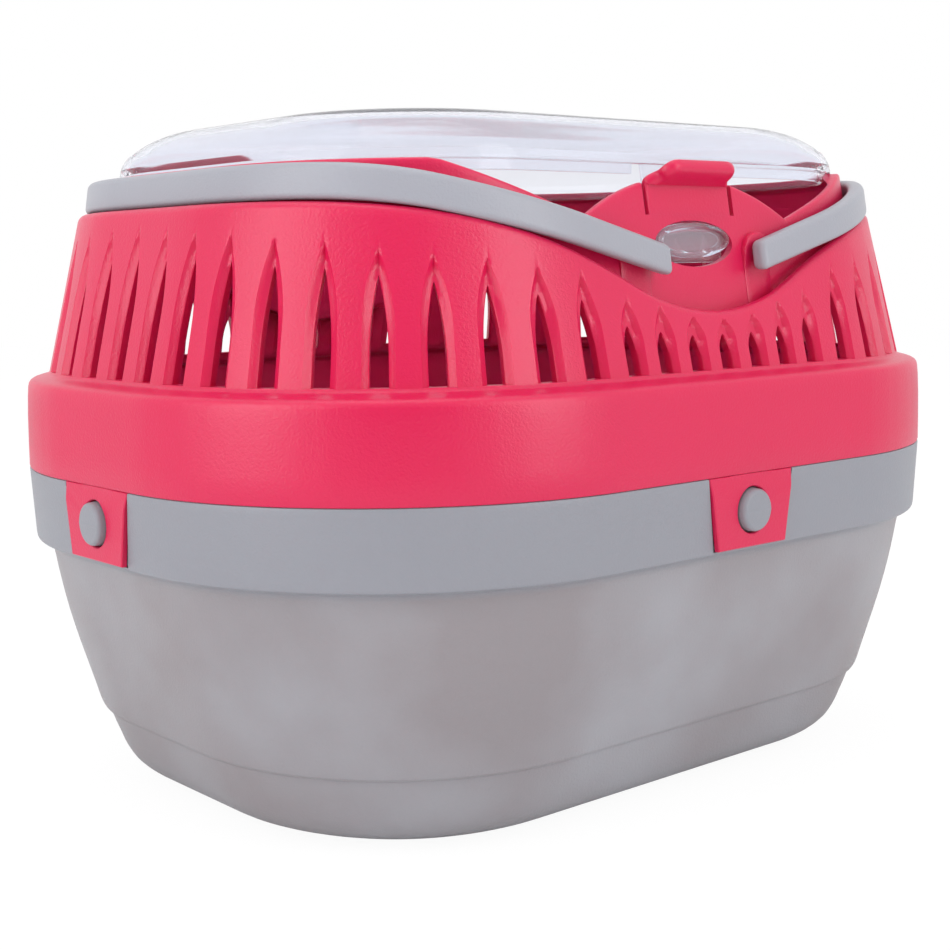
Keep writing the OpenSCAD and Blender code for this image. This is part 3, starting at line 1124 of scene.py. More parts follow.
    def shoulder(self, s: Array, z: Array) -> tuple[Array, Array]:
        """Rows over the wall's top: a quarter round outside and a crisp edge inside.

        Args:
            s: the top row's arc lengths.
            z: the top row's heights.

        Returns:
            Outer and inner points.
        """
        turn = np.radians(np.array([18, 36, 54, 72, 88, 90]))[:, None]
        r = self.shoulder_r
        up = r * np.sin(turn)
        back = r * (1 - np.cos(turn))
        back[-1] = WALL_T - 0.12
        track = WALL.walk(np.repeat(s, len(turn), 0))
        nominal = -(z + up - LEDGE_Z) * WALL_LEAN
        outer = WALL.place(track, nominal - back, z + up)
        lift = np.linspace(0.1, 1, len(turn))[:, None] * (r - 0.12)
        inner = WALL.place(track, -(z + lift - LEDGE_Z) * WALL_LEAN - WALL_T, z + lift)
        return outer, inner

    def build(self, wardrobe: Wardrobe) -> None:
        """Builds and dresses the wall."""
        wardrobe.dress(self.wall(), Finish.ROSE_RED, "shell", "upper_shell")


@dataclass
class Collar:
    """The leaning collar that carries the lid, with the channel's floor, pads and hinge bar."""

    window: tuple[float, float, float] = (17.0, 6.8, 170.6)
    notch: tuple[float, float] = (44.5, 178.0)
    notch_top_x: float = 88.0
    arch_z: float = 190.5
    hinge_gap: float = 12.6
    pad_r: float = 6.0
    pad_y: float = 96.0
    seat: float = 5.0
    rim_depth: float = 4.4
    front_half: float = 50.0

    def rim(self, x: Array, y: Array) -> Array:
        """Finds the rim's height.

        It is level, but for the front's straight notches, the crest panel's arc and the
        tongue's gap, and the gap for the lid's hinge at the back.

        Args:
            x: where the columns stand along X.
            y: where they stand along Y.

        Returns:
            Heights.
        """
        nx, nz = self.notch
        rise = self.arch_z - nz
        r = (nx * nx + rise * rise) / (2 * rise)
        ax = np.abs(x)
        crest = self.arch_z - r + np.sqrt(np.maximum(r * r - ax * ax, 0))
        slope = nz + (ax - nx) * (RIM_Z - nz) / (self.notch_top_x - nx)
        front = np.where(ax < nx, crest, np.minimum(slope, RIM_Z))
        front = np.where(ax < TONGUE_HALF + SLIT_W, TONGUE_Z, front)
        back = np.where(ax < self.hinge_gap, HINGE[1] - 6, RIM_Z)
        return np.where(y < 0, front, back)

    def columns(self) -> Array:
        """Spaces the columns: cosine steps over the window, pairs at the slits and hinge gap.

        Returns:
            Arc lengths.
        """
        wide = self.window[0]
        over = wide * np.cos(np.linspace(0, np.pi, 41))
        slit = TONGUE_HALF + SLIT_W
        marks = np.array([slit - 0.01, slit + 0.01, 21, 23, 26, 29, 32, 35, 38, 41, 43])
        marks = np.concatenate([marks, [self.notch[0]], np.linspace(46, 54, 5)])
        half = 2 * COLLAR.quarter
        gap = half - np.array([self.hinge_gap - 0.01, self.hinge_gap + 0.01])
        rest = np.linspace(56.5, half - 15, 84)
        side = np.concatenate([marks, rest, gap, half - np.array([4.0, 8.0])])
        return np.sort(np.mod(np.concatenate([over, side, -side, [half]]), 2 * half))

    def ring(self) -> bpy.types.Object:
        """Makes the channel's floor and the collar as one plate with the window left open.

        The rows run from the vented wall across the floor, round a small fillet and up the
        collar. They part round the window, whose edge is the ellipse's formula, and thin at
        the rim to a rounded edge. Over the last 4 mm below the full rim the inner face turns
        in on a slope, which makes the seat for the lid.

        Returns:
            The piece.
        """
        s = self.columns()
        track = COLLAR.walk(s)
        spot = COLLAR.place(track, 0.0, 0.0)
        x, y = spot[:, 0], spot[:, 1]
        floor_z = wave_along(COLLAR, track, COLLAR_LEAN, RIM_Z, CHANNEL_DEPTH)
        wide, high, mid_z = self.window
        front = (y < 0) & (np.abs(x) < self.front_half)
        half_h = high * np.sqrt(np.clip(1 - (x / wide) ** 2, 0, 1)) * front
        top = self.rim(x, y)
        base = floor_z + 1.2
        share = np.where(front, smooth((self.front_half - np.abs(x)) / 30), 0.0)
        middle = share * mid_z + (1 - share) * (0.55 * base + 0.45 * top)
        part_low = (middle - half_h - base) * np.linspace(0, 1, 9)[:, None] + base
        over = middle + half_h
        depth = np.minimum(self.rim_depth, 0.6 * (top - over))
        part_high = (top - depth - over) * np.linspace(0, 1, 7)[:, None] + over
        marks = np.array([0.89, 0.68, 0.47, 0.45, 0.22, 0.1, 0.035, 0.0])
        z = np.concatenate([part_low, part_high, top - depth * marks[:, None]])
        thin = np.zeros((len(z), 1))
        thin[-3:, 0] = [0.1, 0.32, 0.72]
        gap = (np.abs(x) < TONGUE_HALF + SLIT_W) & (y < 0)
        thin = thin * ~gap
        lean = (RIM_Z - z) * COLLAR_LEAN
        seat = np.interp(z, [RIM_Z - 4, RIM_Z - 2], [0.0, self.seat - COLLAR_T])
        outer = COLLAR.place(track, lean - thin, z)
        inner = COLLAR.place(track, lean - COLLAR_T + 0.6 * thin - seat, z)
        low_out, low_in = self.floor(track, floor_z)
        outer = np.concatenate([low_out, outer])
        inner = np.concatenate([low_in, inner])
        keep = np.ones((len(outer) - 1, len(s)), bool)
        mid = 0.5 * (x + np.roll(x, -1))
        keep[len(low_out) + 8, (np.abs(mid) < wide) & (y < 0)] = False
        return make_piece("collar_ring", [plate(outer, inner, keep, True)])

    def floor(self, track: Track, floor_z: Array) -> tuple[Array, Array]:
        """Rows across the channel's floor, from inside the vented wall to the collar's foot.

        Args:
            track: the columns.
            floor_z: the floor's height at the collar.

        Returns:
            Outer and inner points.
        """
        wall_z = wave_along(WALL, track, WALL_LEAN, LEDGE_Z, CHANNEL_DEPTH)
        far = WALL.place(track, -(wall_z - LEDGE_Z) * WALL_LEAN - WALL_T + 0.6, wall_z)
        lean = (RIM_Z - floor_z) * COLLAR_LEAN
        foot = COLLAR.place(track, lean + 1.2, floor_z)
        bend = COLLAR.place(track, lean + 0.3, floor_z + 0.35)
        outer = np.stack([far, 0.5 * (far + foot), foot, bend])
        under = foot - [0, 0, WALL_T]
        root = COLLAR.place(track, lean + 0.5 - COLLAR_T, floor_z - WALL_T)
        inside = COLLAR.place(track, lean - COLLAR_T, floor_z - 1.6)
        inner = np.stack([far - [0, 0, WALL_T], 0.5 * (far + under) - [0, 0, WALL_T / 2], root,
                          inside])
        return outer, inner

    def pads(self) -> bpy.types.Object:
        """Makes the four round-topped pads that carry the handles' pins.

        Each is an arch outline stepped in over three rows for a rounded edge, and closed at
        a pole. Its foot leans out with the collar.

        Returns:
            The piece.
        """
        px, pz = PIVOT
        turn = np.radians(np.linspace(0, 180, 25))
        foot_z = WAVE.low - CHANNEL_DEPTH
        unit_x = np.concatenate([np.cos(turn), np.linspace(-1, -1, 6), np.linspace(1, 1, 6)])
        drop = np.linspace(0, foot_z + 1 - pz, 7)[1:]
        unit_z = np.concatenate([np.sin(turn) * self.pad_r, drop, drop[::-1]])
        steps = np.array([[2.6, 0.0], [0.5, 0.0], [0.14, 0.14], [0.0, 0.5], [0.0, 3.0]])
        x = px + unit_x * (self.pad_r - steps[:, 1:])
        z = pz + np.where(unit_z > 0, unit_z * (1 - steps[:, 1:] / self.pad_r), unit_z)
        lean = np.maximum(pz - 7.0 - z, 0) * 0.2
        y = -(self.pad_y + lean - steps[:, :1])
        x = np.concatenate([x, np.full((1, x.shape[1]), px)])
        z = np.concatenate([z, np.broadcast_to(np.minimum(z[-1], pz), (1, z.shape[1]))])
        y = np.concatenate([y, y[-1:]])
        points = np.stack([x, y, z], -1)
        parts = []
        for flip_x in (False, True):
            for flip_y in (False, True):
                one = mirrored(points, 0) if flip_x else points
                parts.append(skin(mirrored(one, 1) if flip_y else one))
        return make_piece("pivot_pads", parts)

    def hinge_bar(self) -> bpy.types.Object:
        """Makes the bar that the lid turns on and the two lugs that hold it, all lathed.

        Returns:
            The piece.
        """
        gap, r = self.hinge_gap, 2.5
        right = np.array([1.0, 0.0, 0.0])
        lug = np.array([[0, 0], [0, 3.6], [0.4, 4], [3.6, 4], [4, 3.6], [4, 0]], float)
        lug = lathe(lug, np.array([gap, *HINGE]), right, 32)
        bar = np.array([[-1, 0], [-1, r], [2 * gap + 1, r], [2 * gap + 1, 0]])
        bar = lathe(bar, np.array([-gap, *HINGE]), right, 24)
        return make_piece("hinge_bar", [skin(lug), skin(mirrored(lug, 0)), skin(bar)])

    def build(self, wardrobe: Wardrobe) -> None:
        """Builds and dresses the collar's pieces."""
        for piece in (self.ring(), self.pads(), self.hinge_bar()):
            wardrobe.dress(piece, Finish.ROSE_RED, "shell")


class Side(Enum):
    """The four snap tabs: the name of each and its turn from the front, in degrees."""

    FRONT = ("front", 0)
    RIGHT = ("right", 90)
    REAR = ("rear", 180)
    LEFT = ("left", 270)


@dataclass
class SnapTabs:
    """The tabs that hang from the shell over the tub's studs."""

    tab: SnapTab

    def one(self, side: Side) -> bpy.types.Object:
        """Makes one tab: loops from its hole out to its slanted outline, and back behind.

        Each loop's points lie on rays from the stud's middle, and the tab stands proud by an
        eased step below its root.

        Args:
            side: which tab.

        Returns:
            The piece.
        """
        name, turn = side.value
        t = self.tab
        reach = BODY.half_y if side in (Side.FRONT, Side.REAR) else BODY.half_x
        corners = np.array(
            [[-t.half_top, SEAM_Z], [-t.half_low, t.low_z], [t.half_low, t.low_z],
             [t.half_top, SEAM_Z]]
        )
        outline = np.concatenate(
            [a + (b - a) * even(24)[:, None] for a, b in zip(corners, np.roll(corners, -1, 0))]
        )
        middle = np.array([0, t.stud_z])
        ray = outline - middle
        length = np.linalg.norm(ray, axis=1)
        ray = ray / length[:, None]
        steps = np.array(
            [[0, 0.35], [0.3, 0.0], [2, 0.0], [-0.35, 0.0], [0, 0.3], [0, 1.7], [-0.3, 2.0],
             [2, 2.0], [0.3, 2.0], [0, 1.7]]
        )
        outward = np.array([0, 0, 0, 1, 1, 1, 1, 0, 0, 0])[:, None]
        far = np.where(outward == 1, length, t.hole_r) + steps[:, :1]
        flat = middle + far[..., None] * ray
        blend = smooth((SEAM_Z - flat[..., 1]) / 6)
        y = -(reach + t.proud * blend - steps[:, 1:])
        points = np.stack([flat[..., 0], y, flat[..., 1]], -1)
        c, s = math.cos(math.radians(turn)), math.sin(math.radians(turn))
        points = points @ np.array([[c, s, 0], [-s, c, 0], [0, 0, 1]])
        return make_piece(f"{name}_tab", [skin(points, wrap_rows=True)])

    def build(self, wardrobe: Wardrobe) -> None:
        """Builds and dresses the four tabs.

        Args:
            wardrobe: what dresses them.
        """
        for side in Side:
            name = side.value[0]
            wardrobe.dress(self.one(side), Finish.ROSE_RED, f"{name}_tab", f"{name}_clip")


@dataclass
class ThumbLatch:
    """The tongue between the crest panel's slits, which flares out into a thick thumb lip."""

    thick: float = 2.2
    belly: float = 1.5
    lip_half: float = 15.4
    tip_r: float = 5.0
    root_z: float = 187.2
    tip: tuple[float, float] = (-97.6, 194.6)

    def path(self) -> tuple[Array, Array]:
        """Middle line in the Y-Z plane: straight up the lean, then a cubic curve outwards.

        Returns:
            Points and their unit normals towards the outside.
        """
        foot_z = TONGUE_Z - 0.5 * self.thick * COLLAR_LEAN
        rise = np.linspace(foot_z, self.root_z, 8)
        tongue = np.stack([-collar_y(rise) + self.thick / 2, rise], -1)
        start, end = tongue[-1], np.array(self.tip)
        t = np.linspace(0, 1, 30)[1:, None]
        one, two = start + np.array([COLLAR_LEAN, 1.0]) * 3.2, end + np.array([2.6, -4.3])
        curve = (
            (1 - t) ** 3 * start + 3 * (1 - t) ** 2 * t * one + 3 * (1 - t) * t**2 * two
            + t**3 * end
        )
        line = np.concatenate([tongue, curve])
        tangent = np.gradient(line, axis=0)
        tangent /= np.linalg.norm(tangent, axis=1)[:, None]
        return line, np.stack([-tangent[:, 1], tangent[:, 0]], -1)

    def piece(self) -> bpy.types.Object:
        """Makes the latch: a plate about its middle line, swelling into the lip.

        Its half width eases from the tongue's to the lip's, and follows a quarter circle at
        each corner of the tip. The lip has a belly on its outer side. The sides and the tip
        are pinched along a quarter circle, so the lip's edge is round, while the tongue's
        edges stay crisp.

        Returns:
            The piece.
        """
        line, normal = self.path()
        run = np.concatenate([[0], np.cumsum(np.linalg.norm(np.diff(line, axis=0), axis=1))])
        left = run[-1] - run
        half = TONGUE_HALF - (TONGUE_HALF - self.lip_half) * smooth((run - 10.0) / 4.5)
        half = half - self.tip_r * (1 - quarter_round(left / self.tip_r)) * 0.94
        swell = smooth((run - 7.6) / 4.0)
        near = 0.5 * self.thick + 0.2 * swell
        out = 0.5 * self.thick + self.belly * swell
        u = np.sin(np.linspace(-np.pi / 2, np.pi / 2, 57))
        x = half[:, None] * u
        inset = half[:, None] * (1 - np.abs(u))
        soft = (0.35 + 2.2 * swell)[:, None]
        pinch = quarter_round(inset / soft) * quarter_round(left / 2.0)[:, None]
        pinch = np.maximum(pinch, 0.02)
        mid = np.stack([x, *np.broadcast_arrays(line[:, :1], line[:, 1:], x)[:2]], -1)
        way = np.stack([np.zeros(len(line)), normal[:, 0], normal[:, 1]], -1)[:, None, :]
        keep = np.ones((len(line) - 1, len(u) - 1), bool)
        outer = mid + way * (out[:, None] * pinch)[..., None]
        inner = mid - way * (near[:, None] * pinch)[..., None]
        return make_piece("thumb_lip", [plate(outer, inner, keep, False)])

    def build(self, wardrobe: Wardrobe) -> None:
        """Builds and dresses the latch."""
        wardrobe.dress(self.piece(), Finish.ROSE_RED, "latch", "thumb_latch")


# ---- lid ----


@dataclass
class ClearLid:
    """The clear lid: a domed top, a foot on the rim's seat and a skirt that locates it."""

    top_z: float = 209.5
    thick: float = 1.8
    low: tuple[float, float, float] = (-12.0, 194.5, 9.0)
    high: tuple[float, float, float] = (-29.66, 171.5, 38.0)
    front_gap: float = 16.6
    rear_gap: float = 92.0

    def profile(self) -> tuple[Array, int]:
        """Offset and height from the crown out to the foot, round the skirt and back inside.

        Returns:
            The profile, and the number of rows before the skirt.
        """
        lx, lz, lr = self.low
        hx, hz, hr = self.high
        turn = math.degrees(math.atan2(lz - hz, lx - hx))
        crown = np.array([[-62.0, 209.45], [-52.0, 209.45], [-42.0, 209.4], [-35.0, 209.3]])
        outer = np.concatenate(
            [crown, arc((hx, hz - 0.05), hr, 84, turn + 2, 10), arc((lx, lz), lr, turn - 2, 9, 9)]
        )
        foot = np.array([[-2.95, 195.2], [-2.9, 194.35], [-3.1, 194.08], [-5.4, 194.05]])
        skirt = np.array([[-5.65, 193.9], [-5.7, 191.4], [-5.95, 191.1], [-6.85, 191.1],
                          [-7.1, 191.4], [-7.12, 193.9]])
        t = self.thick
        inner = np.concatenate(
            [[[-7.14, 194.1], [-7.1, 195.3]], arc((lx, lz), lr - t, 20, turn - 2, 7),
             arc((hx, hz - 0.05), hr - t, turn + 2, 84, 9), crown[::-1] - [0, t]]
        )
        return np.concatenate([outer, foot, skirt, inner]), len(outer) + len(foot)

    def dome(self) -> bpy.types.Object:
        """Makes the lid: its profile swept round the collar's plan, closed at two poles.

        The skirt stops short of the catch and of the whole hinge side, where its rows are
        level with the foot.

        Returns:
            The piece.
        """
        profile, first = self.profile()
        half = 2 * COLLAR.quarter
        front, rear = self.front_gap, half - self.rear_gap
        marks = np.array([front - 0.01, front + 0.01, rear - 0.01, rear + 0.01])
        plain = np.concatenate([np.linspace(0, front - 1, 6), np.linspace(front + 3, half, 130)])
        side = np.concatenate([marks, plain])
        s = np.unique(np.round(np.mod(np.concatenate([side, -side]), 2 * half), 4))
        track = COLLAR.walk(s)
        spot = COLLAR.place(track, 0.0, 0.0)
        x, y = spot[:, 0], spot[:, 1]
        cut = ((y < 0) & (np.abs(x) < front)) | ((y > 0) & (np.abs(s - half) < half - rear))
        z = np.repeat(profile[:, 1:], len(s), 1)
        row = np.arange(len(profile))
        in_skirt = (row >= first) & (row < first + 6)
        z = np.where(in_skirt[:, None] & cut, RIM_Z + 0.05, z)
        wall = COLLAR.place(track, profile[:, :1], z)
        share = np.array([0.0, 0.35, 0.7])[:, None, None]
        over = wall[:1] * [1, 1, 0] * share + [0, 0, self.top_z]
        under = wall[-1:] * [1, 1, 0] * share[::-1] + [0, 0, self.top_z - self.thick]
        return make_piece("lid_dome", [skin(np.concatenate([over, wall, under]))])

    def knuckle(self) -> bpy.types.Object:
        """Makes the clip that snaps on the hinge bar: a C-shaped section carried along X.

        Returns:
            The piece.
        """
        y, z = HINGE
        neck = np.array([[y - 3.2, z + 3.0], [y - 3.2, RIM_Z + 1.5], [y - 4.2, RIM_Z + 1.5],
                         [y - 4.2, z + 1.3]])
        outer_r, inner_r = 4.4, 2.75
        loop = np.concatenate(
            [arc(HINGE, outer_r, -58, 132, 24), neck, arc(HINGE, outer_r, 165, 238, 10),
             arc(HINGE, inner_r, 238, -58, 30)]
        )
        ends = np.array([-12.0, -11.7, 11.7, 12.0])[:, None, None]
        shrink = np.array([0.97, 1.0, 1.0, 0.97])[:, None, None]
        flat = HINGE + (loop - HINGE) * shrink
        return prism("lid_knuckle", np.concatenate([ends + 0 * flat[..., :1], flat], -1))

    def build(self, wardrobe: Wardrobe) -> None:
        """Builds and dresses the lid."""
        wardrobe.dress(self.dome(), Finish.CLEAR, "lid", "clear_lid")
        wardrobe.dress(self.knuckle(), Finish.CLEAR, "lid")


@dataclass
class LidCatch:
    """The springy clear strip under the lid's front edge, with its dished oval boss."""

    half: float = 15.4
    low_z: float = 165.0
    gap: float = 0.6
    thick: float = 1.8
    boss: tuple[float, float, float] = (15.4, 5.2, 171.6)
    proud: float = 0.8
    corner_r: float = 3.5

    def strip(self) -> Grid:
        """A leaning plate, pinched along quarter circles to round edges at its sides and foot.

        Returns:
            Points and faces.
        """
        up = np.concatenate([np.linspace(RIM_Z - self.low_z, 1.2, 20), [0.5, 0.15, 0.0]])
        z = self.low_z + up
        u = np.sin(np.linspace(-np.pi / 2, np.pi / 2, 25))
        y = -collar_y(z) + COLLAR_T + self.gap + self.thick / 2
        inset = self.half * (1 - np.abs(u))
        half = self.half - self.corner_r * (1 - quarter_round(up / self.corner_r))
        pinch = quarter_round(inset / 0.6) * quarter_round(up / 0.9)[:, None]
        offset = 0.5 * self.thick * np.maximum(pinch, 0.03)
        x = half[:, None] * u
        flat = np.stack(np.broadcast_arrays(x, y[:, None], z[:, None]), -1)
        way = np.array([0.0, -1.0, 0.0])
        keep = np.ones((len(z) - 1, len(u) - 1), bool)
        outer = flat + offset[..., None] * way
        return plate(outer, flat - offset[..., None] * way, keep, False)

    def oval(self) -> Grid:
        """The boss: ellipse loops round a cup that is hollow behind and dished in front.

        The loops start at the hollow's middle, run out to its wall and back to the strip,
        then forward over the outside, round the thick rim and into the dish.

        Returns:
            Points and faces.
        """
        wide, high, mid_z = self.boss
        front = -(collar_y(mid_z) + self.proud)
        back = -collar_y(mid_z) + COLLAR_T + self.gap + 0.3
        steps = np.array(
            [[front + 2.6, 4.0], [front + 2.6, 2.5], [front + 2.62, 2.3], [front + 2.74, 2.05],
             [front + 2.95, 1.9], [back - 0.1, 1.75], [back, 1.6], [back, 0.3],
             [back - 0.1, 0.1], [front + 0.8, 0.0], [front + 0.35, 0.1], [front + 0.08, 0.38],
             [front, 0.8], [front + 0.06, 1.15], [front + 0.3, 1.4], [front + 0.85, 1.6],
             [front + 1.08, 1.74], [front + 1.18, 1.95], [front + 1.2, 2.2],
             [front + 1.2, 4.0]]
        )
        turn = 2 * np.pi * even(96)
        x = (wide - steps[:, 1:]) * np.cos(turn)
        z = mid_z + (high - steps[:, 1:]) * np.sin(turn)
        y = np.broadcast_to(steps[:, :1], x.shape)
        loops = np.stack([x, y, z], -1)
        first = loops[:1] * [0.0, 1, 0] + [0, 0, mid_z]
        last = loops[-1:] * [0.0, 1, 0] + [0, 0, mid_z]
        return skin(np.concatenate([first, loops, last]))

    def build(self, wardrobe: Wardrobe) -> None:
        """Builds and dresses the catch.

        Args:
            wardrobe: what dresses its pieces.
        """
        strip = make_piece("catch_strip", [self.strip()])
        wardrobe.dress(strip, Finish.CLEAR_CATCH, "catch", "lid_catch")
        wardrobe.dress(make_piece("catch_boss", [self.oval()]), Finish.CLEAR_CATCH, "catch")


# ---- handles ----


@dataclass
class BailHandle:
    """A U-shaped bar that lies round one end of the collar and turns on two pins."""

    thick: float = 5.4
    low_h: float = 8.8
    high_h: float = 9.9
    end_x: float = 22.0
    level_x: float = 118.0
    bend_r: float = 110.0
    slope: float = 14.4
    rest_z: float = 183.3
    edge_r: float = 1.9
    pin_r: float = 2.5
    left_end_x: float = 18.6
    cap_r: float = 1.9

    def underside(self, x: Array) -> Array:
        """Finds the height of the bar's underside: a straight slope, an arc, then level.

        Args:
            x: distances from the middle.

        Returns:
            Heights.
        """
        tan = math.tan(math.radians(self.slope))
        bend_x = self.level_x - self.bend_r * math.sin(math.radians(self.slope))
        bend_z = self.rest_z - self.bend_r * (1 - math.cos(math.radians(self.slope)))
        ax = np.minimum(np.abs(x), self.level_x)
        round_z = self.rest_z - self.bend_r + np.sqrt(self.bend_r**2 - (self.level_x - ax) ** 2)
        return np.where(ax < bend_x, bend_z - (bend_x - ax) * tan, round_z)

    def bar(self, front_x: float) -> Array:
        """The right bar: a rounded box section carried along the plan and its elevation.

        The section leans with the collar. Its end rows step in along a quarter circle for a
        rounded cap, and close at a pole.

        Args:
            front_x: how far from the middle its front tip ends.

        Returns:
            Points, rows by columns by 3.
        """
        start, stop = front_x, 2 * BAIL.quarter - self.end_x
        turn = np.radians(np.linspace(0, 90, 6))
        cap = self.cap_r * (1 - np.sin(turn))
        step_in = self.cap_r * (1 - np.cos(turn[::-1]))
        lead = start + cap[::-1]
        body = np.linspace(start + 3, stop - 3, 130)
        s = np.concatenate([lead[:1], lead, body, stop - cap, stop - cap[-1:]])
        inset = np.concatenate([step_in[:1], step_in, 0 * body, step_in[::-1], step_in[:1]])
        track = BAIL.walk(s)
        x = BAIL.place(track, -self.thick / 2, 0.0)[:, 0]
        grow = np.clip((np.abs(x) - self.end_x) / (self.level_x - self.end_x), 0, 1)
        height = self.low_h + (self.high_h - self.low_h) * grow
        mid_z = self.underside(x) + height / 2
        half_u, half_v = self.thick / 2 - inset, height / 2 - inset
        r = np.maximum(self.edge_r - 0.5 * inset, 0.4)
        r = np.minimum(r, half_u * 0.95)
        half_u[[0, -1]] = 0.0
        half_v[[0, -1]] = 0.0
        r[[0, -1]] = 0.0
        u, v = rounded_box(half_u, half_v, r, 7)
        z = mid_z[:, None] + v
        offset = u - self.thick / 2 + (RIM_Z - z) * BAIL_LEAN
        wide = Track(track.a[:, None], track.b[:, None], track.turn[:, None])
        return BAIL.place(wide, offset, z)

    def pin(self) -> Array:
        """A pin that runs in from the bar through the pad, with a rounded nose.

        Returns:
            Points, rows by columns by 3.
        """
        px, pz = PIVOT
        root = BAIL.half_y - self.thick + (RIM_Z - pz) * BAIL_LEAN + 1.5
        long = root - (collar_y(pz) - COLLAR_T - 1)
        profile = np.array([[0, 0], [0, self.pin_r], [long - 0.5, self.pin_r],
                            [long - 0.15, self.pin_r - 0.2], [long, self.pin_r - 0.6],
                            [long, 0]])
        return lathe(profile, np.array([px, -root, pz]), np.array([0.0, 1.0, 0.0]), 28)

    def build(self, wardrobe: Wardrobe) -> None:
        """Builds and dresses both handles: the left one is mirrored, with a longer front tip.

        Args:
            wardrobe: what dresses them.
        """
        pins = [self.pin(), mirrored(self.pin(), 1)]
        right = [self.bar(self.end_x), *pins]
        left = [mirrored(part, 0) for part in (self.bar(self.left_end_x), *pins)]
        for side, parts in (("right", right), ("left", left)):
            piece = make_piece(f"{side}_bail", [skin(part) for part in parts])
            wardrobe.dress(piece, Finish.LIGHT_GREY, f"handle_{side}", f"{side}_handle")


# ---- studio ----


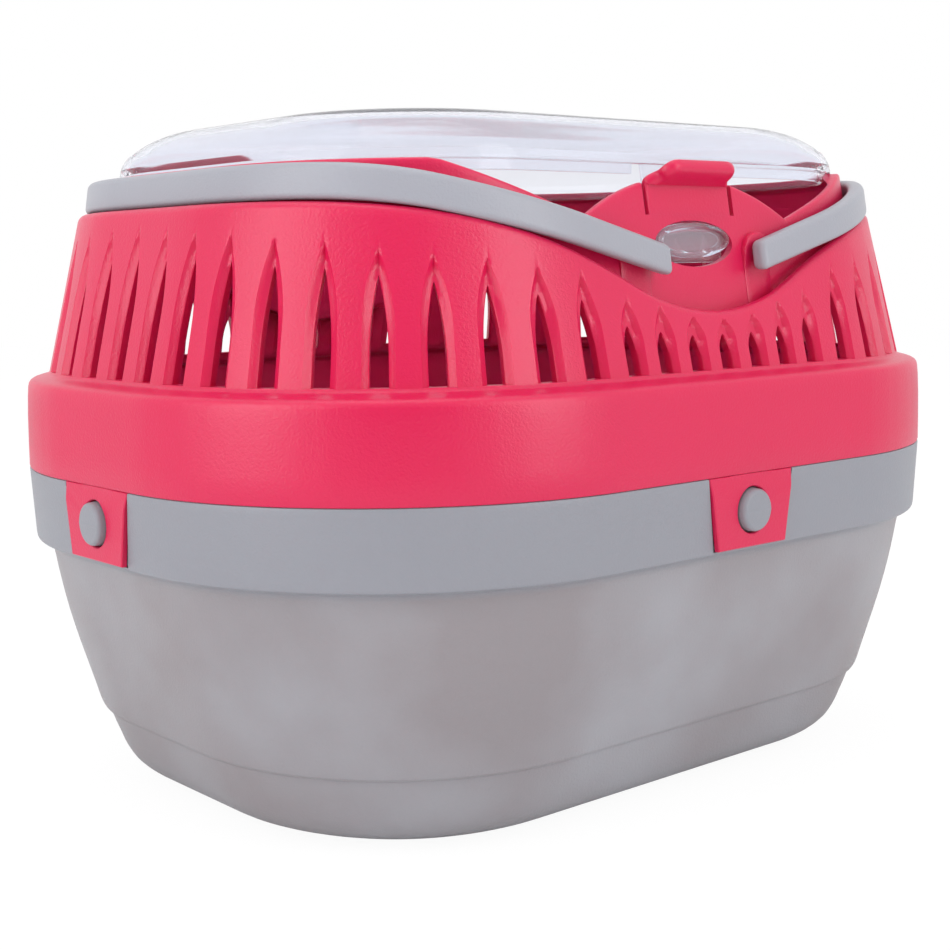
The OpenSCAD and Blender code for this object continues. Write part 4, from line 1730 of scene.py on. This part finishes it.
@dataclass
class Studio:
    """Camera, floor, world and soft lamps."""

    eye: tuple[float, float, float] = (-0.3582, -0.4088, 0.1651)
    forward: tuple[float, float, float] = (0.63599, 0.76012, -0.13321)
    roll: float = -0.016
    focal_px: float = 1572.5
    picture_px: float = 950.0
    centre_px: tuple[float, float] = (452.7, 477.6)
    ambient: float = 0.68
    gap_way: tuple[float, float, float] = (-0.655, -0.752, 0.07)
    gap_cosines: tuple[float, float] = (0.78, 0.97)
    gap_level: float = 0.03
    floor_half: float = 3.0

    def camera(self) -> None:
        """Places the camera that was fitted to the photograph."""
        forward = np.array(self.forward) / np.linalg.norm(self.forward)
        level = np.array([forward[1], -forward[0], 0.0])
        level /= np.linalg.norm(level)
        above = np.cross(level, forward)
        right = level * math.cos(self.roll) + above * math.sin(self.roll)
        up = np.cross(right, forward)
        data = bpy.data.cameras.new("camera")
        data.sensor_width = 36.0
        data.lens = self.focal_px / self.picture_px * data.sensor_width
        data.shift_x = (self.picture_px / 2 - self.centre_px[0]) / self.picture_px
        data.shift_y = (self.centre_px[1] - self.picture_px / 2) / self.picture_px
        data.clip_start = 0.01
        camera = bpy.data.objects.new("camera", data)
        bpy.context.scene.collection.objects.link(camera)
        rows = np.stack([right, up, -forward], 1).tolist()
        camera.matrix_world = Matrix.Translation(self.eye) @ Matrix(rows).to_4x4()
        bpy.context.scene.camera = camera

    def lamp(
        self, name: str, place: tuple[float, float, float], size: tuple[float, float], power: float
    ) -> None:
        """Adds a softbox that faces the carrier.

        Args:
            name: the lamp's name.
            place: its position in metres.
            size: width and height in metres.
            power: in watts.
        """
        data = bpy.data.lights.new(name, "AREA")
        data.shape = "RECTANGLE"
        data.size, data.size_y = size
        data.energy = power
        lamp = bpy.data.objects.new(name, data)
        bpy.context.scene.collection.objects.link(lamp)
        spot = np.array(place)
        back = spot - np.array([0, 0, 0.12])
        back /= np.linalg.norm(back)
        side = np.cross([0, 0, 1.0], back)
        side /= np.linalg.norm(side)
        rows = np.stack([side, np.cross(back, side), back], 1).tolist()
        lamp.matrix_world = Matrix.Translation(place) @ Matrix(rows).to_4x4()

    def seen(self, tree: bpy.types.NodeTree, *kinds: str) -> bpy.types.NodeSocket:
        """Tells kinds of ray apart.

        Args:
            tree: the nodes.
            kinds: names such as "Is Camera Ray".

        Returns:
            A socket that is 1 for the named kinds and 0 for the rest.
        """
        path = add_node(tree, "ShaderNodeLightPath")
        found = path.outputs[kinds[0]]
        for kind in kinds[1:]:
            both = {0: found, 1: path.outputs[kind]}
            found = add_node(tree, "ShaderNodeMath", {"operation": "MAXIMUM"}, both).outputs[0]
        return found

    def world(self) -> None:
        """A white tent, plain white to the camera and through glass, with a dark gap.

        The tent is open on the side it is looked into from, so what is glossy reflects less
        there. The gap fades with the cosine of the angle from its middle. Matt surfaces get
        an even light from the tent.
        """
        world = bpy.data.worlds.new("world")
        bpy.context.scene.world = world
        world.use_nodes = True
        tree = world.node_tree
        tree.nodes.clear()
        way = add_node(tree, "ShaderNodeTexCoord").outputs["Generated"]
        toward = add_node(
            tree, "ShaderNodeVectorMath", {"operation": "DOT_PRODUCT", 1: self.gap_way}, {0: way}
        )
        tent = add_node(
            tree,
            "ShaderNodeMapRange",
            {"From Min": self.gap_cosines[0], "From Max": self.gap_cosines[1], "To Min": 1.0,
             "To Max": self.gap_level, "interpolation_type": "SMOOTHSTEP"},
            {"Value": toward.outputs["Value"]},
        )
        level = self.seen(tree, "Is Glossy Ray")
        shiny = add_node(
            tree, "ShaderNodeMix", {2: self.ambient}, {0: level, 3: tent.outputs["Result"]}
        )
        plain = self.seen(tree, "Is Camera Ray", "Is Transmission Ray")
        strength = add_node(tree, "ShaderNodeMix", {3: 1.0}, {0: plain, 2: shiny.outputs[0]})
        light = add_node(
            tree, "ShaderNodeBackground", {"Color": (1.0, 1.0, 1.0, 1.0)},
            {"Strength": strength.outputs[0]},
        )
        add_node(tree, "ShaderNodeOutputWorld", links={"Surface": light.outputs[0]})

    def floor(self) -> None:
        """A pale floor that shows white where it is lit and keeps the carrier's soft shadow."""
        mesh = bpy.data.meshes.new("floor")
        r = self.floor_half
        mesh.from_pydata([(-r, -r, 0), (r, -r, 0), (r, r, 0), (-r, r, 0)], [], [(0, 1, 2, 3)])
        floor = bpy.data.objects.new("floor", mesh)
        bpy.context.scene.collection.objects.link(floor)
        material, shader = start_material("pale_floor")
        tree = material.node_tree
        matt = {"Base Color": (0.9, 0.9, 0.9, 1.0), "Roughness": 0.9, "Specular IOR Level": 0.0}
        set_node(tree, shader, matt, {})
        seen = self.seen(tree, "Is Camera Ray", "Is Transmission Ray")
        share = add_node(
            tree, "ShaderNodeMath", {"operation": "MULTIPLY", 1: 0.9}, {0: seen}
        )
        white = add_node(tree, "ShaderNodeEmission", {"Strength": 1.04})
        mix = add_node(
            tree, "ShaderNodeMixShader",
            links={0: share.outputs[0], 1: shader.outputs[0], 2: white.outputs[0]},
        )
        tree.links.new(mix.outputs[0], tree.nodes["Material Output"].inputs["Surface"])
        mesh.materials.append(material)

    def build(self) -> None:
        """Builds the studio: a tall softbox on the left, a narrower one in front, one above."""
        self.camera()
        self.world()
        self.floor()
        self.lamp("left_softbox", (-1.30, 0.0, 0.6), (0.8, 1.2), 8.6)
        self.lamp("front_softbox", (0.26, -1.32, 0.6), (0.5, 1.2), 7.6)
        self.lamp("top_softbox", (0.0, 0.1, 1.4), (1.2, 0.9), 5.0)
        bpy.context.scene.view_settings.view_transform = "Standard"


def main() -> None:
    """Builds the carrier round its frame, then the studio."""
    logging.basicConfig(level=logging.INFO, format="%(name)s %(message)s")
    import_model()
    wardrobe = Wardrobe()
    tab = SnapTab()
    for part in (
        Tub(tab), VentedShell(), Collar(), SnapTabs(tab), ThumbLatch(), ClearLid(), LidCatch(),
        BailHandle(),
    ):
        part.build(wardrobe)
    Studio().build()


if __name__ == "__main__":
    main()
